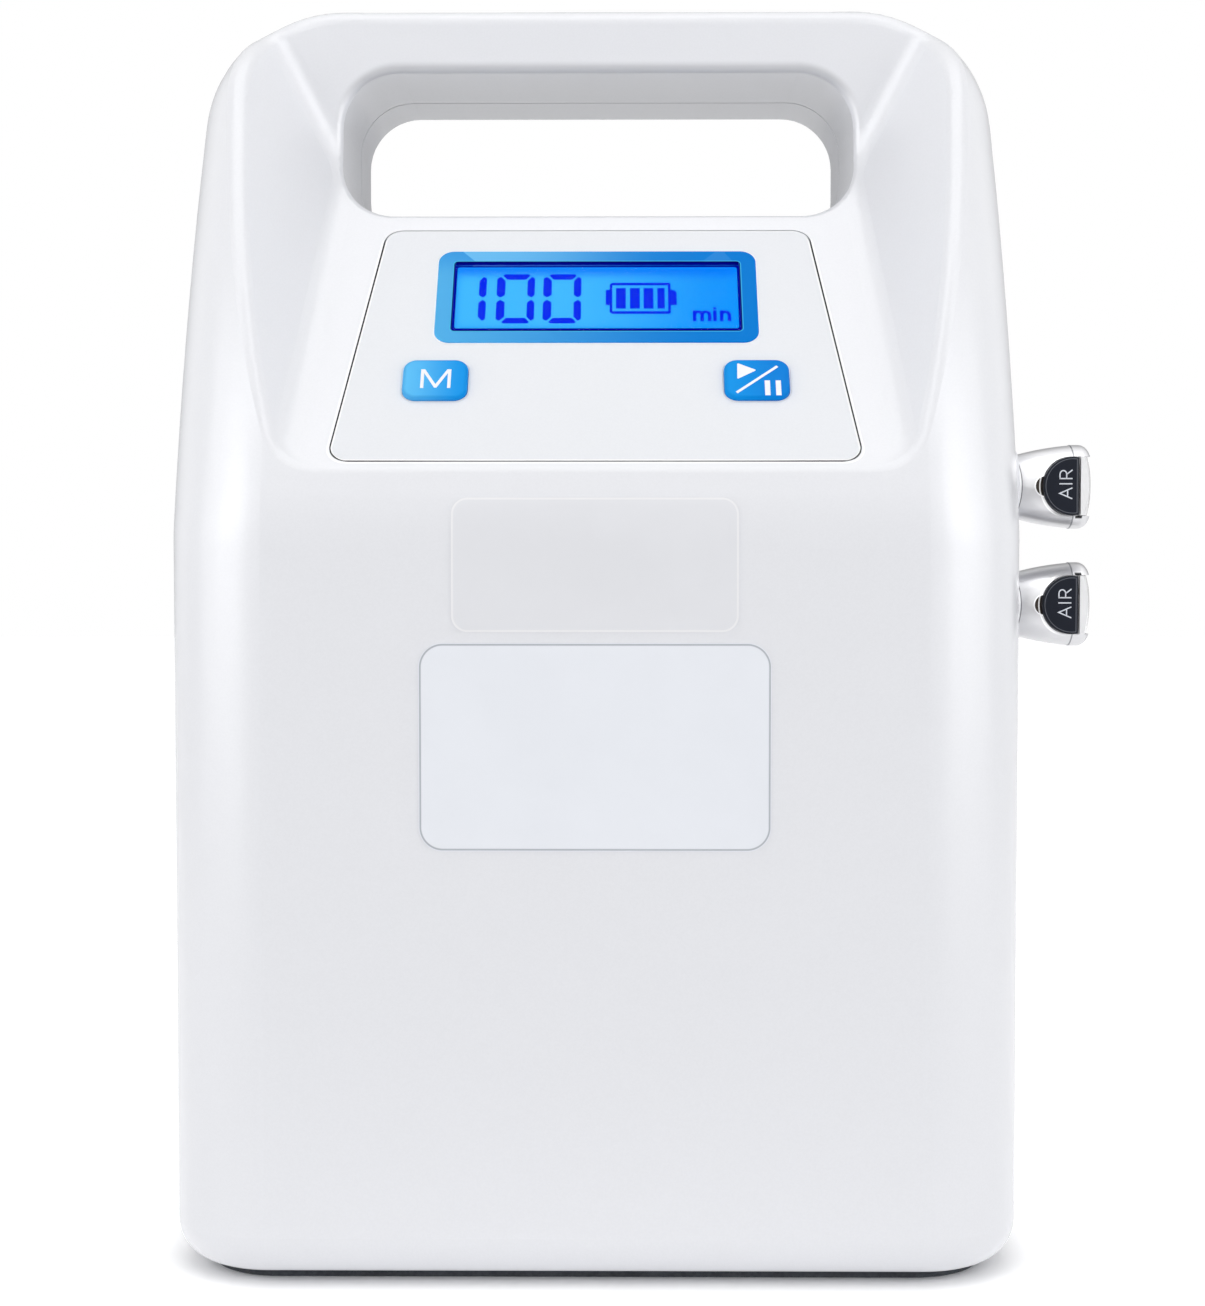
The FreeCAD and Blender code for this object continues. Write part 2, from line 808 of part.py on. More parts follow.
def panel_cutouts():
    """Pocket for the panel plate, and the openings and pilot holes behind it."""
    pocket = new_body("plate_pocket")
    add(pocket, [plate_outline("plate_seam")], "-plate_thick", "dish_blend")
    rounded(pocket, "plate_corner + plate_seam", along("z"))
    add(pocket, [display_outline("lens_lap + lcd_lap + gap")], f"{LEDGE_BACK} * 2", "0")
    for key in KEYS:
        add(pocket, [key_outline(key, "key_flange + gap")], f"{LEDGE_BACK} * 2", "0")
    for x, y in PANEL_BOSSES:
        add(pocket, [("circle", x, y, "small_shank + slide")], f"{BOARD_FACE} * 1.5",
            f"{LEDGE_BACK} + ledge / 4")
    return in_panel(pocket)


def front_housing(skin, cavity):
    """Deep front half of the housing, with the side bosses for the couplers."""
    zone = block("front_zone", "-width", "width", "-depth", PARTING, "-top_height", "top_height * 2")
    shell = cut("front_shell", common("front_half", [skin, zone]), cavity)
    bosses = [rod("port_boss_stock", "port_boss_radius", f"{RIGHT_INSIDE} + wall / 2", PORT_Y, z,
                  "wall / 2 + port_boss", TO_RIGHT) for z in PORTS.values()]
    stock = fuse("front_stock", [shell, front_fixtures()] + bosses)
    tools = [panel_cutouts(), pad_body("pad_recess_tool", "gap", "0", "body_lift + pad_recess")]
    tools += [rod("post_pilot", PILOT, x, f"{PARTING} - big_length", z, "big_length * 2", TO_BACK)
              for x, z in POSTS]
    pilot_low = f"{CHASSIS_TOP} - chassis_screw_length - gap"
    tools += [rod("chassis_pilot", PILOT, x, y, pilot_low, "chassis_low") for x, y in CHASSIS_BOSSES]
    tools += [rod("port_hole", "neck_radius + gap", f"{RIGHT_INSIDE} - wall", PORT_Y, z, "wall * 4",
                  TO_RIGHT) for z in PORTS.values()]
    return node(cut("front_housing_shape", stock, fuse("front_tools", tools)), "front_housing")


def rear_housing(skin, cavity):
    """Shallow rear half of the housing, with a fine reveal where it meets the front half."""
    zone = block("rear_zone", "-width", "width", PARTING, "depth", "-top_height", "top_height * 2")
    shell = cut("rear_shell", common("rear_half", [skin, zone]), cavity)
    root = f"{REAR_INSIDE} + wall / 2"
    bosses = [rod("lid_boss", "lid_boss_radius", x, PARTING, z, f"{root} - ({PARTING})", TO_BACK)
              for x, z in POSTS]
    bosses += [rod("board_boss", "main_board_boss", x, BOARD_BACK, z, f"{root} - ({BOARD_BACK})", TO_BACK)
               for x, z in MAIN_BOSSES]
    stock = fuse("rear_stock", [shell] + bosses)
    reveal_zone = block("reveal_zone", "-width", "width", PARTING, f"{PARTING} + seam",
                        "-top_height", "top_height * 2")
    inside_reveal = cut("inside_reveal", body_form("reveal_form", "seam"), grip("reveal_grip", "seam"))
    tools = [cut("reveal_groove", reveal_zone, inside_reveal)]
    for x, z in POSTS:
        tools.append(rod("lid_counterbore", "big_head + gap", x, f"{PARTING} + head_seat", z, "depth",
                         TO_BACK))
        tools.append(rod("lid_hole", "big_shank + gap", x, f"{PARTING} - wall", z, "depth", TO_BACK))
    tools += [rod("board_pilot", PILOT, x, f"{BOARD_BACK} - wall", z, "main_screw_length + wall", TO_BACK)
              for x, z in MAIN_BOSSES]
    before_wall = f"{REAR_INSIDE} - wall"
    tools.append(rod("inlet_hole", "inlet_barrel + gap", "inlet_x", before_wall, "inlet_z", "wall * 4",
                     TO_BACK))
    slots = 5
    for step in range(slots):
        slot_low = f"slot_foot + {step} * slot_pitch"
        tools.append(block("cooling_slot", "slot_x - slot_width / 2", "slot_x + slot_width / 2", before_wall,
                           "depth", slot_low, f"{slot_low} + slot_height"))
    tools.append(pad_body("rear_recess_tool", "gap", "0", "body_lift + pad_recess"))
    return node(cut("rear_housing_shape", stock, fuse("rear_tools", tools)), "rear_housing")


def housing():
    skin = housing_skin()
    cavity = hollowed("cavity", "wall")
    front_housing(skin, cavity)
    rear_housing(skin, cavity)
    node(pad_body("base_pad_body", "0", "0", "body_lift + pad_recess"), "base_pad")
    seats = [(x, f"{PARTING} + head_seat", z) for x, z in POSTS]
    screw_group("housing_screws", "big", "big_length", seats, TO_BACK)


def labels():
    """Two bare stick-on labels; the upper one bends over the shoulder."""
    lower = new_body("lower_label_body")
    add(lower, [box_outline("-lower_label_width / 2", "lower_label_width / 2", "lower_label_foot",
                            "lower_label_head")], "-depth / 2 - label_thick", "-depth / 2", "XZ_Plane")
    node(rounded(lower, "lower_label_corner", along("y")), "lower_label")
    outline = new_body("upper_label_outline")
    add(outline, [box_outline("-upper_label_width / 2", "upper_label_width / 2", "upper_label_foot",
                              "upper_label_head")], "-depth", "-depth / 4", "XZ_Plane")
    rounded(outline, "upper_label_corner", along("y"))
    film = cut("label_film", body_form("label_form", "-label_thick"), body_form("label_backing", "0"))
    node(common("upper_label_shape", [film, outline]), "upper_label")


# ---------------------------------------------------------------- control panel

def control_panel():
    plate = new_body("control_panel_body")
    loops = [plate_outline("0"), bezel_outline("gap - bezel_lip")]
    loops += [key_outline(key, "gap") for key in KEYS]
    add(plate, loops, "-plate_thick", "0")
    corners = [Vector(value(x), value(y)) for x, y in plate_outline("0")]

    def plate_corner(edge):
        spot = Vector(middle(edge).x, middle(edge).y)
        return along("z")(edge) and any(spot.distanceToPoint(corner) < 0.5 for corner in corners)

    rounded(plate, "plate_corner", plate_corner)
    key_reach = value("key_height / 2 + gap") + 0.1
    rounded(plate, "key_corner + gap",
            lambda edge: along("z")(edge) and abs(middle(edge).y - value("key_rise")) < key_reach)
    node(in_panel(plate), "control_panel")


def display():
    """Bezel frame, lens, display glass and its backlight, from the front to the back."""
    bezel = new_body("display_bezel_body")
    add(bezel, [bezel_outline("0")], "0", "bezel_proud")
    rounded(bezel, "bezel_corner", along("z"))
    rounded(bezel, "bezel_proud / 2", level("z", "bezel_proud"))
    add(bezel, [bezel_outline("-bezel_lip")], "-plate_thick", "0")
    remove(bezel, [display_outline("0")], "-plate_thick", "bezel_proud")
    remove(bezel, [display_outline("lens_lap")], "-plate_thick", "-lens_depth")
    node(in_panel(bezel), "display_bezel")
    lens = add(new_body("display_window_body"), [display_outline("lens_lap - slide")],
               "-(lens_depth + lens_thick)", "-lens_depth")
    node(in_panel(lens), "display_window")
    glass = add(new_body("lcd_glass_body"), [display_outline("lcd_lap")], LCD_BACK, LCD_FACE)
    node(in_panel(glass), "lcd_glass")
    light = add(new_body("lcd_backlight_body"), [display_outline("lens_lap")], BOARD_FACE, LCD_BACK)
    node(in_panel(light), "lcd_backlight")


def key(name):
    """One key with its flange and stem, and the switch and plunger that it presses."""
    x = KEYS[name]
    flange_top = "-(plate_thick + gap)"
    switch_top = f"{BOARD_FACE} + switch_height"
    plunger_top = f"{switch_top} + switch_proud"
    button = new_body(f"{name}_button_body")
    add(button, [key_outline(name, "0")], flange_top, "key_proud")
    rounded(button, "key_corner", along("z"))
    rounded(button, "key_edge", level("z", "key_proud"))
    add(button, [key_outline(name, "key_flange")], f"{flange_top} - key_flange_thick", flange_top)
    add(button, [("circle", x, "key_rise", "key_stem")], plunger_top, f"{flange_top} - key_flange_thick")
    node(in_panel(button), f"{name}_button")
    plunger_low = f"{switch_top} - switch_plunger / 2"
    plunger = add(new_body(f"{name}_plunger_body"), [("circle", x, "key_rise", "switch_plunger")],
                  plunger_low, plunger_top)
    node(in_panel(plunger), f"{name}_switch_plunger")
    outline = rectangle(x, "key_rise", "switch_size", "switch_size")
    switch = add(new_body(f"{name}_switch_body"), [outline], BOARD_FACE, switch_top)
    remove(switch, [("circle", x, "key_rise", "switch_plunger + gap / 2")],
           f"{plunger_low} - key_travel - gap", switch_top)
    node(in_panel(switch), f"{name}_switch")


def panel_board():
    board = new_body("panel_board_body")
    outline = trapezoid("panel_board_half_foot", "panel_board_half_head", "panel_board_foot",
                        "panel_board_head")
    holes = [("circle", x, y, "small_shank + gap") for x, y in PANEL_BOSSES]
    add(board, [outline] + holes, f"{BOARD_FACE} - board_thick", BOARD_FACE)
    add(board, [rectangle("0", PLUG_RISE, "connector_length", "connector_width")],
        f"{BOARD_FACE} - board_thick - connector_depth", f"{BOARD_FACE} - board_thick")
    node(in_panel(board), "panel_board")
    seats = [panel_point(x, y, f"{BOARD_FACE} - board_thick") for x, y in PANEL_BOSSES]
    inward = PANEL_TURN.multiply(Rotation(Vector(1, 0, 0), 180))
    screw_group("panel_board_screws", "small", "small_length", seats, inward)


# ---------------------------------------------------------------- air couplers

def in_port(thing, port):
    """Put a piece drawn in a coupler's own frame in place: z out of the right wall, y to the back."""
    return place(thing, "width / 2", PORT_Y, PORTS[port], TO_RIGHT)


AHEAD = "-mouth_radius * 2"
SPRING_LOOP = ("circle", "0", "spring_place", "spring_radius + spring_wire + slide")


def coupler_body(port):
    """Threaded neck, flared body and hose barb, with the plug's bore and its seal groove."""
    body = new_body(f"{port}_coupler")
    groove, groove_low = "bore_radius + seal_depth", "bore_start - seal_groove"
    turn_profile(body, [
        ("duct_radius", "-barb_end"), ("barb_radius", "-barb_end"), ("barb_radius", "-neck_length"),
        ("neck_radius", "-neck_length"), ("neck_radius", "port_boss"),
        ("root_radius", "port_boss", "flare_bow"), ("mouth_radius", "flare_end"),
        ("bore_radius", "flare_end"), ("bore_radius", "bore_start"), (groove, "bore_start"),
        (groove, groove_low), ("duct_radius", groove_low)])
    pocket = ("circle", "0", "latch_centre", "latch_half + latch_fit")
    remove(body, [pocket], AHEAD, "-latch_floor", "XZ_Plane")
    remove(body, [("circle", "0", "notch_place", "notch_radius")], AHEAD, "-notch_floor", "XZ_Plane")
    remove(body, [SPRING_LOOP], AHEAD, "spring_seat - latch_floor", "XZ_Plane")
    node(in_port(body, port), f"{port}_coupler_body")


def coupler_collar(port):
    """End ring with the slot that guides the latch plate."""
    body = new_body(f"{port}_collar")
    turn_profile(body, [("collar_bore", "flare_end"), ("collar_radius", "flare_end"),
                        ("collar_radius", "collar_end"), ("collar_bore", "collar_end")])
    rounded(body, "collar_round", lambda edge: level("z", "collar_end")(edge)
            and abs(edge.Curve.Radius - value("collar_radius")) < 0.01)
    half = "latch_half + latch_fit"
    remove(body, [box_outline(f"-({half})", half, "latch_plate_place - slide", "collar_end * 2")], AHEAD,
           "collar_radius * 2", "XZ_Plane")
    remove(body, [box_outline(f"-({half})", half, "0", "collar_end * 2")], AHEAD, "-latch_floor", "XZ_Plane")
    node(in_port(body, port), f"{port}_coupler_collar")


def latch(port):
    """Latch button, its return spring, and the end plate, which slide together."""
    button_back = "latch_thick - latch_face"
    button = new_body(f"{port}_latch")
    add(button, [("circle", "0", "latch_centre", "latch_half")], "-latch_face", button_back, "XZ_Plane")
    remove(button, [box_outline("-collar_radius", "collar_radius", "latch_plate_place - gap",
                                "collar_end * 2")], AHEAD, "0", "XZ_Plane")
    rounded(button, "latch_edge", level("y", "-latch_face"))
    remove(button, [SPRING_LOOP], f"{button_back} - spring_seat", button_back, "XZ_Plane")
    node(in_port(button, port), f"{port}_latch_button")

    start = "spring_seat - latch_floor - spring_wire"
    rise = "latch_face - latch_thick - latch_floor + 2 * (spring_seat - spring_wire)"
    helix = doc.addObject("Part::Helix", f"{port}_helix")
    bind(helix, "Radius", "spring_radius")
    bind(helix, "Height", rise)
    bind(helix, "Pitch", f"({rise}) / spring_turns")
    wire = doc.addObject("Part::Circle", f"{port}_wire")
    bind(wire, "Radius", "spring_wire")
    spring = doc.addObject("Part::Sweep", f"{port}_spring")
    spring.Sections = [checked(place(wire, "spring_radius", start, "spring_place"))]
    spring.Spine = (checked(place(helix, "0", start, "spring_place", TO_FRONT)), [])
    spring.Solid, spring.Frenet = True, True
    node(in_port(checked(spring), port), f"{port}_latch_spring")


def latch_plate(port):
    """Domed end plate, whose long aperture clears the plug at rest and pressed."""
    low, top = "latch_plate_place", "latch_plate_place + latch_plate_edge"
    dome = "(latch_plate_reach ^ 2 + latch_plate_dome ^ 2) / (2 * latch_plate_dome)"
    plate = new_body(f"{port}_plate")
    turn_profile(plate, [("0", low), ("latch_plate_reach", low), ("latch_plate_reach", top, dome),
                         ("0", f"{top} + latch_plate_dome")])
    span = "latch_plate_reach * 3"
    remove(plate, [rectangle("0", "0", span, span),
                   box_outline("-latch_half", "latch_half", "-latch_face", "latch_plate_back")],
           "0", "collar_end * 2")
    remove(plate, [box_outline("-collar_bore", "collar_bore", "-latch_travel", "0")], "0", "collar_end * 2")
    for y in ("-latch_travel", "0"):
        remove(plate, [("circle", "0", y, "collar_bore")], "0", "collar_end * 2")
    node(in_port(plate, port), f"{port}_latch_plate")


def coupler_seal(port):
    """Seal ring in the groove at the bottom of the plug's bore."""
    body = new_body(f"{port}_seal")
    low, high = "bore_start - seal_groove + slide", "bore_start - slide"
    turn_profile(body, [("bore_radius + slide", low), ("bore_radius + seal_depth - slide", low),
                        ("bore_radius + seal_depth - slide", high), ("bore_radius + slide", high)])
    rounded(body, "seal_depth / 4", lambda edge: True)
    node(in_port(body, port), f"{port}_coupler_seal")


def coupler_nut(port):
    """Hexagonal nut that clamps the neck to the wall from inside."""
    body = new_body(f"{port}_nut")
    corners = [(f"nut_radius * cos({60 * step})", f"nut_radius * sin({60 * step})") for step in range(6)]
    add(body, [corners, ("circle", "0", "0", "neck_radius + slide")], "-(wall + nut_thick)",
        "-(wall + slide * 2)")
    node(in_port(body, port), f"{port}_coupler_nut")


# ---------------------------------------------------------------- inside: chassis and battery

def chassis():
    plate = new_body("chassis_body")
    holes = [("circle", x, y, "big_shank + gap") for x, y in CHASSIS_BOSSES]
    outline = box_outline("-chassis_half", "chassis_half", CHASSIS_FRONT, "chassis_back")
    add(plate, [outline] + holes, "chassis_low", CHASSIS_TOP)
    node(rounded(plate, "chassis_corner", along("z")), "chassis")
    seats = [(x, y, CHASSIS_TOP) for x, y in CHASSIS_BOSSES]
    screw_group("chassis_screws", "big", "chassis_screw_length", seats)


def battery():
    """Four cells standing in an open cradle."""
    half = "(cell_pitch / 2 + cell_radius + gap)"
    cradle = new_body("battery_cradle_body")
    outer, inner = f"2 * ({half} + cradle_wall)", f"2 * {half}"
    floor, rim = f"{CHASSIS_TOP} + cradle_base", f"{CHASSIS_TOP} + cradle_height"
    add(cradle, [rectangle("battery_x", BATTERY_Y, outer, outer)], CHASSIS_TOP, rim)
    rounded(cradle, "cell_radius / 2", along("z"))
    remove(cradle, [rectangle("battery_x", BATTERY_Y, inner, inner)], floor, rim)
    node(cradle, "battery_cradle")
    cells = [rod("battery_cell", "cell_radius", f"battery_x {across} cell_pitch / 2",
                 f"{BATTERY_Y} {along_y} cell_pitch / 2", floor, "cell_length")
             for across in "-+" for along_y in "-+"]
    node(group("battery_cells_group", cells), "battery_cells")


# ---------------------------------------------------------------- inside: diaphragm pump

BRACKET_LOW = f"{CHASSIS_TOP} + mount_height"
BRACKET_TOP = f"{BRACKET_LOW} + bracket_thick"
AXIS_Z = f"{CHASSIS_TOP} + crank_axis"
CASE_LEFT = "pump_left + motor_length"
CASE_RIGHT = f"{CASE_LEFT} + crankcase_length"
CASE_TOP = f"{BRACKET_TOP} + crankcase_height"
CRANK_X = f"{CASE_LEFT} + crankcase_length / 2"
HEAD_LOW = f"{CASE_TOP} + diaphragm_thick"
HEAD_TOP = f"{HEAD_LOW} + head_thick"


def case_outline(margin):
    side = f"crankcase_length + 2 * ({margin})"
    return rectangle(CRANK_X, PUMP_Y, side, side)


def pump_frame():
    """Rubber mounts, bracket with its motor saddle, and the crankcase."""
    left, right = "pump_left - bracket_margin / 2", f"{CASE_RIGHT} + bracket_margin"
    half_depth = "(crankcase_length / 2 + bracket_margin)"
    front, back = f"{PUMP_Y} - {half_depth}", f"{PUMP_Y} + {half_depth}"
    mounts = [rod("pump_mount", "mount_radius", x, y, CHASSIS_TOP, "mount_height")
              for x in (f"{left} + mount_inset", f"{right} - mount_inset")
              for y in (f"{front} + mount_inset", f"{back} - mount_inset")]
    node(group("pump_mounts_group", mounts), "pump_mounts")
    bracket = new_body("pump_bracket_body")
    add(bracket, [box_outline(left, right, front, back)], BRACKET_LOW, BRACKET_TOP)
    middle_x = "pump_left + motor_length / 2"
    add(bracket, [rectangle(middle_x, PUMP_Y, "saddle_length", "saddle_width")], BRACKET_TOP,
        f"{BRACKET_TOP} + saddle_height")
    remove(bracket, [("circle", PUMP_Y, AXIS_Z, "motor_radius + slide")], "pump_left", CASE_LEFT,
           "YZ_Plane")
    node(bracket, "pump_bracket")
    case = new_body("pump_crankcase_body")
    add(case, [case_outline("0")], BRACKET_TOP, CASE_TOP)
    remove(case, [case_outline("-crankcase_wall")], f"{BRACKET_TOP} + crankcase_wall", CASE_TOP)
    remove(case, [("circle", PUMP_Y, AXIS_Z, "shaft_radius + slide")], f"{CASE_LEFT} - 1",
           f"{CASE_LEFT} + crankcase_wall + 1", "YZ_Plane")
    node(case, "pump_crankcase")


def pump_drive():
    """Motor can, and the shaft and eccentric that turn."""
    motor = new_body("pump_motor_body")
    bearing, bearing_end = "shaft_radius + slide", "motor_length / 3"
    turn_profile(motor, [("0", "0"), ("motor_radius", "0"), ("motor_radius", "motor_length"),
                         (bearing, "motor_length"), (bearing, bearing_end), ("0", bearing_end)])
    rounded(motor, "shaft_radius", level("z", "0"))
    node(place(motor, "pump_left", PUMP_Y, AXIS_Z, TO_RIGHT), "pump_motor")
    shaft_start = "pump_left + motor_length / 3 + gap"
    shaft_end = f"{CRANK_X} + eccentric_width / 2 + shaft_radius"
    shaft = rod("pump_shaft_rod", "shaft_radius", shaft_start, PUMP_Y, AXIS_Z,
                f"{shaft_end} - ({shaft_start})", TO_RIGHT)
    node(shaft, "pump_shaft")
    eccentric = new_body("pump_eccentric_body")
    loops = [("circle", PUMP_Y, f"{AXIS_Z} + eccentric_throw", "eccentric_radius"),
             ("circle", PUMP_Y, AXIS_Z, "shaft_radius + slide / 2")]
    add(eccentric, loops, f"{CRANK_X} - eccentric_width / 2", f"{CRANK_X} + eccentric_width / 2",
        "YZ_Plane")
    node(eccentric, "pump_eccentric")


def pump_top():
    """Rocker, diaphragm and head with its two ports."""
    inner = "(eccentric_radius + eccentric_throw + gap)"
    outer = f"({inner} + rocker_ring)"
    low, high = f"{CRANK_X} - rocker_width / 2", f"{CRANK_X} + rocker_width / 2"
    rocker = new_body("pump_rocker_body")
    add(rocker, [("circle", PUMP_Y, AXIS_Z, outer)], low, high, "YZ_Plane")
    stem = box_outline(f"{PUMP_Y} - rocker_stem", f"{PUMP_Y} + rocker_stem", f"{AXIS_Z} + {inner}", CASE_TOP)
    add(rocker, [stem], low, high, "YZ_Plane")
    add(rocker, [("circle", CRANK_X, PUMP_Y, f"{outer} - rocker_ring / 2")],
        f"{CASE_TOP} - rocker_ring", CASE_TOP)
    remove(rocker, [("circle", PUMP_Y, AXIS_Z, inner)], low, high, "YZ_Plane")
    node(rocker, "pump_rocker")
    node(add(new_body("pump_diaphragm_body"), [case_outline("0")], CASE_TOP, HEAD_LOW), "pump_diaphragm")
    head = new_body("pump_head_body")
    add(head, [case_outline("0")], HEAD_LOW, HEAD_TOP)
    rounded(head, "crankcase_wall", level("z", HEAD_TOP))
    remove(head, [("circle", CRANK_X, PUMP_Y, "crankcase_length / 3")], HEAD_LOW,
           f"{HEAD_LOW} + head_thick / 3")
    for side in "-+":
        x = f"{CRANK_X} {side} head_port"
        add(head, [("circle", x, PUMP_Y, "barb_radius")], f"{HEAD_TOP} - duct_radius",
            f"{HEAD_TOP} + head_barb")
        remove(head, [("circle", x, PUMP_Y, "duct_radius")], HEAD_LOW, f"{HEAD_TOP} + head_barb")
    node(head, "pump_head")


# ---------------------------------------------------------------- inside: valves and hoses

MANIFOLD_TOP = f"{CHASSIS_TOP} + manifold_height"
MANIFOLD_MIDDLE = "manifold_left + manifold_length / 2"
VALVES = {"upper": "manifold_left + manifold_length - coil_inset", "lower": "manifold_left + coil_inset"}
HOSE_X = {"pump": f"{MANIFOLD_MIDDLE} - hose_pitch", "lower": MANIFOLD_MIDDLE,
          "upper": f"{MANIFOLD_MIDDLE} + hose_pitch"}


def valves():
    manifold = new_body("valve_manifold_body")
    outline = rectangle(MANIFOLD_MIDDLE, "manifold_y", "manifold_length", "manifold_width")
    add(manifold, [outline], CHASSIS_TOP, MANIFOLD_TOP)
    duct_height, barb_top = f"{CHASSIS_TOP} + manifold_height / 2", f"{MANIFOLD_TOP} + manifold_barb"
    for x in HOSE_X.values():
        add(manifold, [("circle", x, "manifold_y", "barb_radius")], f"{MANIFOLD_TOP} - duct_radius", barb_top)
    ducts = [("circle", x, "manifold_y", "duct_radius") for x in HOSE_X.values()]
    remove(manifold, ducts, duct_height, barb_top)
    remove(manifold, [("circle", "manifold_y", duct_height, "duct_radius * 1.5")], VALVES["lower"],
           VALVES["upper"], "YZ_Plane")
    node(manifold, "valve_manifold")
    for name, x in VALVES.items():
        low, high, hollow = "coil_cap", "coil_height - coil_cap", "valve_plunger + valve_fit"
        coil = new_body(f"{name}_coil")
        turn_profile(coil, [("0", "0"), ("coil_radius", "0"), ("coil_radius", "coil_height"),
                            ("0", "coil_height"), ("0", high), (hollow, high), (hollow, low), ("0", low)])
        node(place(coil, x, "manifold_y", MANIFOLD_TOP), f"{name}_valve_coil")
        plunger = rod(f"{name}_plunger", "valve_plunger", x, "manifold_y",
                      f"{MANIFOLD_TOP} + {low} + slide", f"{high} - {low} - valve_travel - gap")
        node(plunger, f"{name}_valve_plunger")


def hoses():
    """One hose from the pump to the manifold, and one from there to each coupler."""
    down = f"{MANIFOLD_TOP} + gap"
    start = "width / 2 - barb_end + hose_lap"
    for port, height in PORTS.items():
        x = HOSE_X[port]
        drop = f"{height} - (manifold_y - {PORT_Y})"
        hose(f"{port}_air_hose", [(start, PORT_Y, height), (x, PORT_Y, height), (x, "manifold_y", drop),
                                  (x, "manifold_y", down)], "hose_bend")
    out, x = f"{CRANK_X} - head_port", HOSE_X["pump"]
    over = f"{HEAD_TOP} + head_barb + hose_bend"
    hose("pump_hose", [(out, PUMP_Y, f"{HEAD_TOP} + gap"), (out, PUMP_Y, over), (x, "manifold_y", over),
                       (x, "manifold_y", down)], "hose_bend")


# ---------------------------------------------------------------- inside: electronics

def main_board():
    board = new_body("main_board_body")
    holes = [("circle", x, z, "big_shank + gap") for x, z in MAIN_BOSSES]
    outline = box_outline("-main_board_half", "main_board_half", "main_board_foot", "main_board_head")
    node(add(board, [outline] + holes, "main_board_y", BOARD_BACK, "XZ_Plane"), "main_board")
    seats = [(x, "main_board_y", z) for x, z in MAIN_BOSSES]
    screw_group("main_board_screws", "big", "main_screw_length", seats, TO_FRONT)

    def boxed(name, x, z, width, height, thick):
        return block(name, f"{x} - {width} / 2", f"{x} + {width} / 2", f"main_board_y - {thick}",
                     "main_board_y", f"{z} - {height} / 2", f"{z} + {height} / 2")

    low, middle_z = "main_board_foot + chip_size", "(main_board_foot + main_board_head) / 2"
    left = "-(main_board_half - chip_size)"
    sensors = {"upper": f"{middle_z} + sensor_width", "lower": f"{middle_z} - sensor_width / 2"}
    buzzer_z = f"{middle_z} + chip_size"
    parts = [boxed("controller_chip", "-chip_size", middle_z, "chip_size", "chip_size", "chip_thick"),
             boxed("driver_chip", "chip_size / 2", low, "chip_size / 1.5", "chip_size / 2", "chip_thick"),
             boxed("ribbon_socket", "0", RIBBON_END, "connector_length", "connector_width",
                   "connector_depth"),
             rod("capacitor", "capacitor_radius", left, "main_board_y", low, "can_height", TO_FRONT),
             rod("buzzer", "buzzer_radius", left, "main_board_y", buzzer_z, "can_height", TO_FRONT)]
    parts += [boxed(f"{name}_sensor", "sensor_x", z, "sensor_width", "sensor_height", "sensor_thick")
              for name, z in sensors.items()]
    node(group("board_components_group", parts), "board_components")


def ribbon_cable():
    """Flat cable from the panel board's connector to the main board's."""
    leave, arrive = f"{BOARD_FACE} - board_thick - connector_depth", "main_board_y - connector_depth"
    route = [panel_point("0", PLUG_RISE, leave), panel_point("0", PLUG_RISE, f"{leave} - ribbon_straight"),
             ("0", f"{arrive} - ribbon_straight", RIBBON_END), ("0", arrive, RIBBON_END)]
    points = [Vector(*(value(formula) for formula in point)) for point in route]
    path = route_wire(points, value("ribbon_bend"))
    start = (points[1] - points[0]).normalize()
    across = Vector(1, 0, 0)
    thickness = start.cross(across).normalize() * (value("ribbon_thick") / 2)
    width = across * (value("ribbon_width") / 2)
    corners = [points[0] + width * right + thickness * up
               for right, up in ((-1, -1), (1, -1), (1, 1), (-1, 1), (-1, -1))]
    band = doc.addObject("Part::Feature", "ribbon")
    band.Shape = swept(path, Part.makePolygon(corners))
    node(place(band), "ribbon_cable")


def power_inlet():
    """Charging socket behind the rear wall, with its centre pin."""
    body = new_body("power_inlet_body")
    mouth = "wall - inlet_sunk"
    add(body, [rectangle("0", "0", "inlet_size", "inlet_size")], "-inlet_length", "0")
    floor = "inlet_back - inlet_length"
    add(body, [("circle", "0", "0", "inlet_barrel")], "-inlet_back", mouth)
    remove(body, [("circle", "0", "0", "inlet_bore")], floor, mouth)
    add(body, [("circle", "0", "0", "inlet_pin")], f"{floor} - inlet_back / 2", f"{mouth} - inlet_back")
    node(place(body, "inlet_x", REAR_INSIDE, "inlet_z", TO_BACK), "power_inlet")


# ---------------------------------------------------------------- build, check and write

def build():
    housing()
    labels()
    control_panel()
    display()
    for name in KEYS:
        key(name)
    panel_board()
    for port in PORTS:
        coupler_body(port)
        coupler_collar(port)
        latch(port)
        latch_plate(port)
        coupler_seal(port)
        coupler_nut(port)
    chassis()
    battery()
    pump_frame()
    pump_drive()
    pump_top()
    valves()
    hoses()
    main_board()
    ribbon_cable()
    power_inlet()


def write():
    doc.recompute()
    failed = [thing.Label for thing in doc.Objects if {"Invalid", "Error"} & set(thing.State)]
    failed += [part.Label for part in NODES if part.Shape.isNull() or not part.Shape.isValid()]
    if failed:
        raise RuntimeError(f"failed objects: {failed}")
    os.makedirs("parts", exist_ok=True)
    for part in NODES:
        part.Shape.exportStep(f"parts/{part.Label}.step")
    print(len(NODES), "nodes written")


build()
write()
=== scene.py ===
import math

import bmesh
import bpy
from bpy.props import FloatProperty, FloatVectorProperty, IntProperty, PointerProperty, StringProperty
from bpy.types import Operator, Panel, PropertyGroup
from mathutils import Matrix, Vector


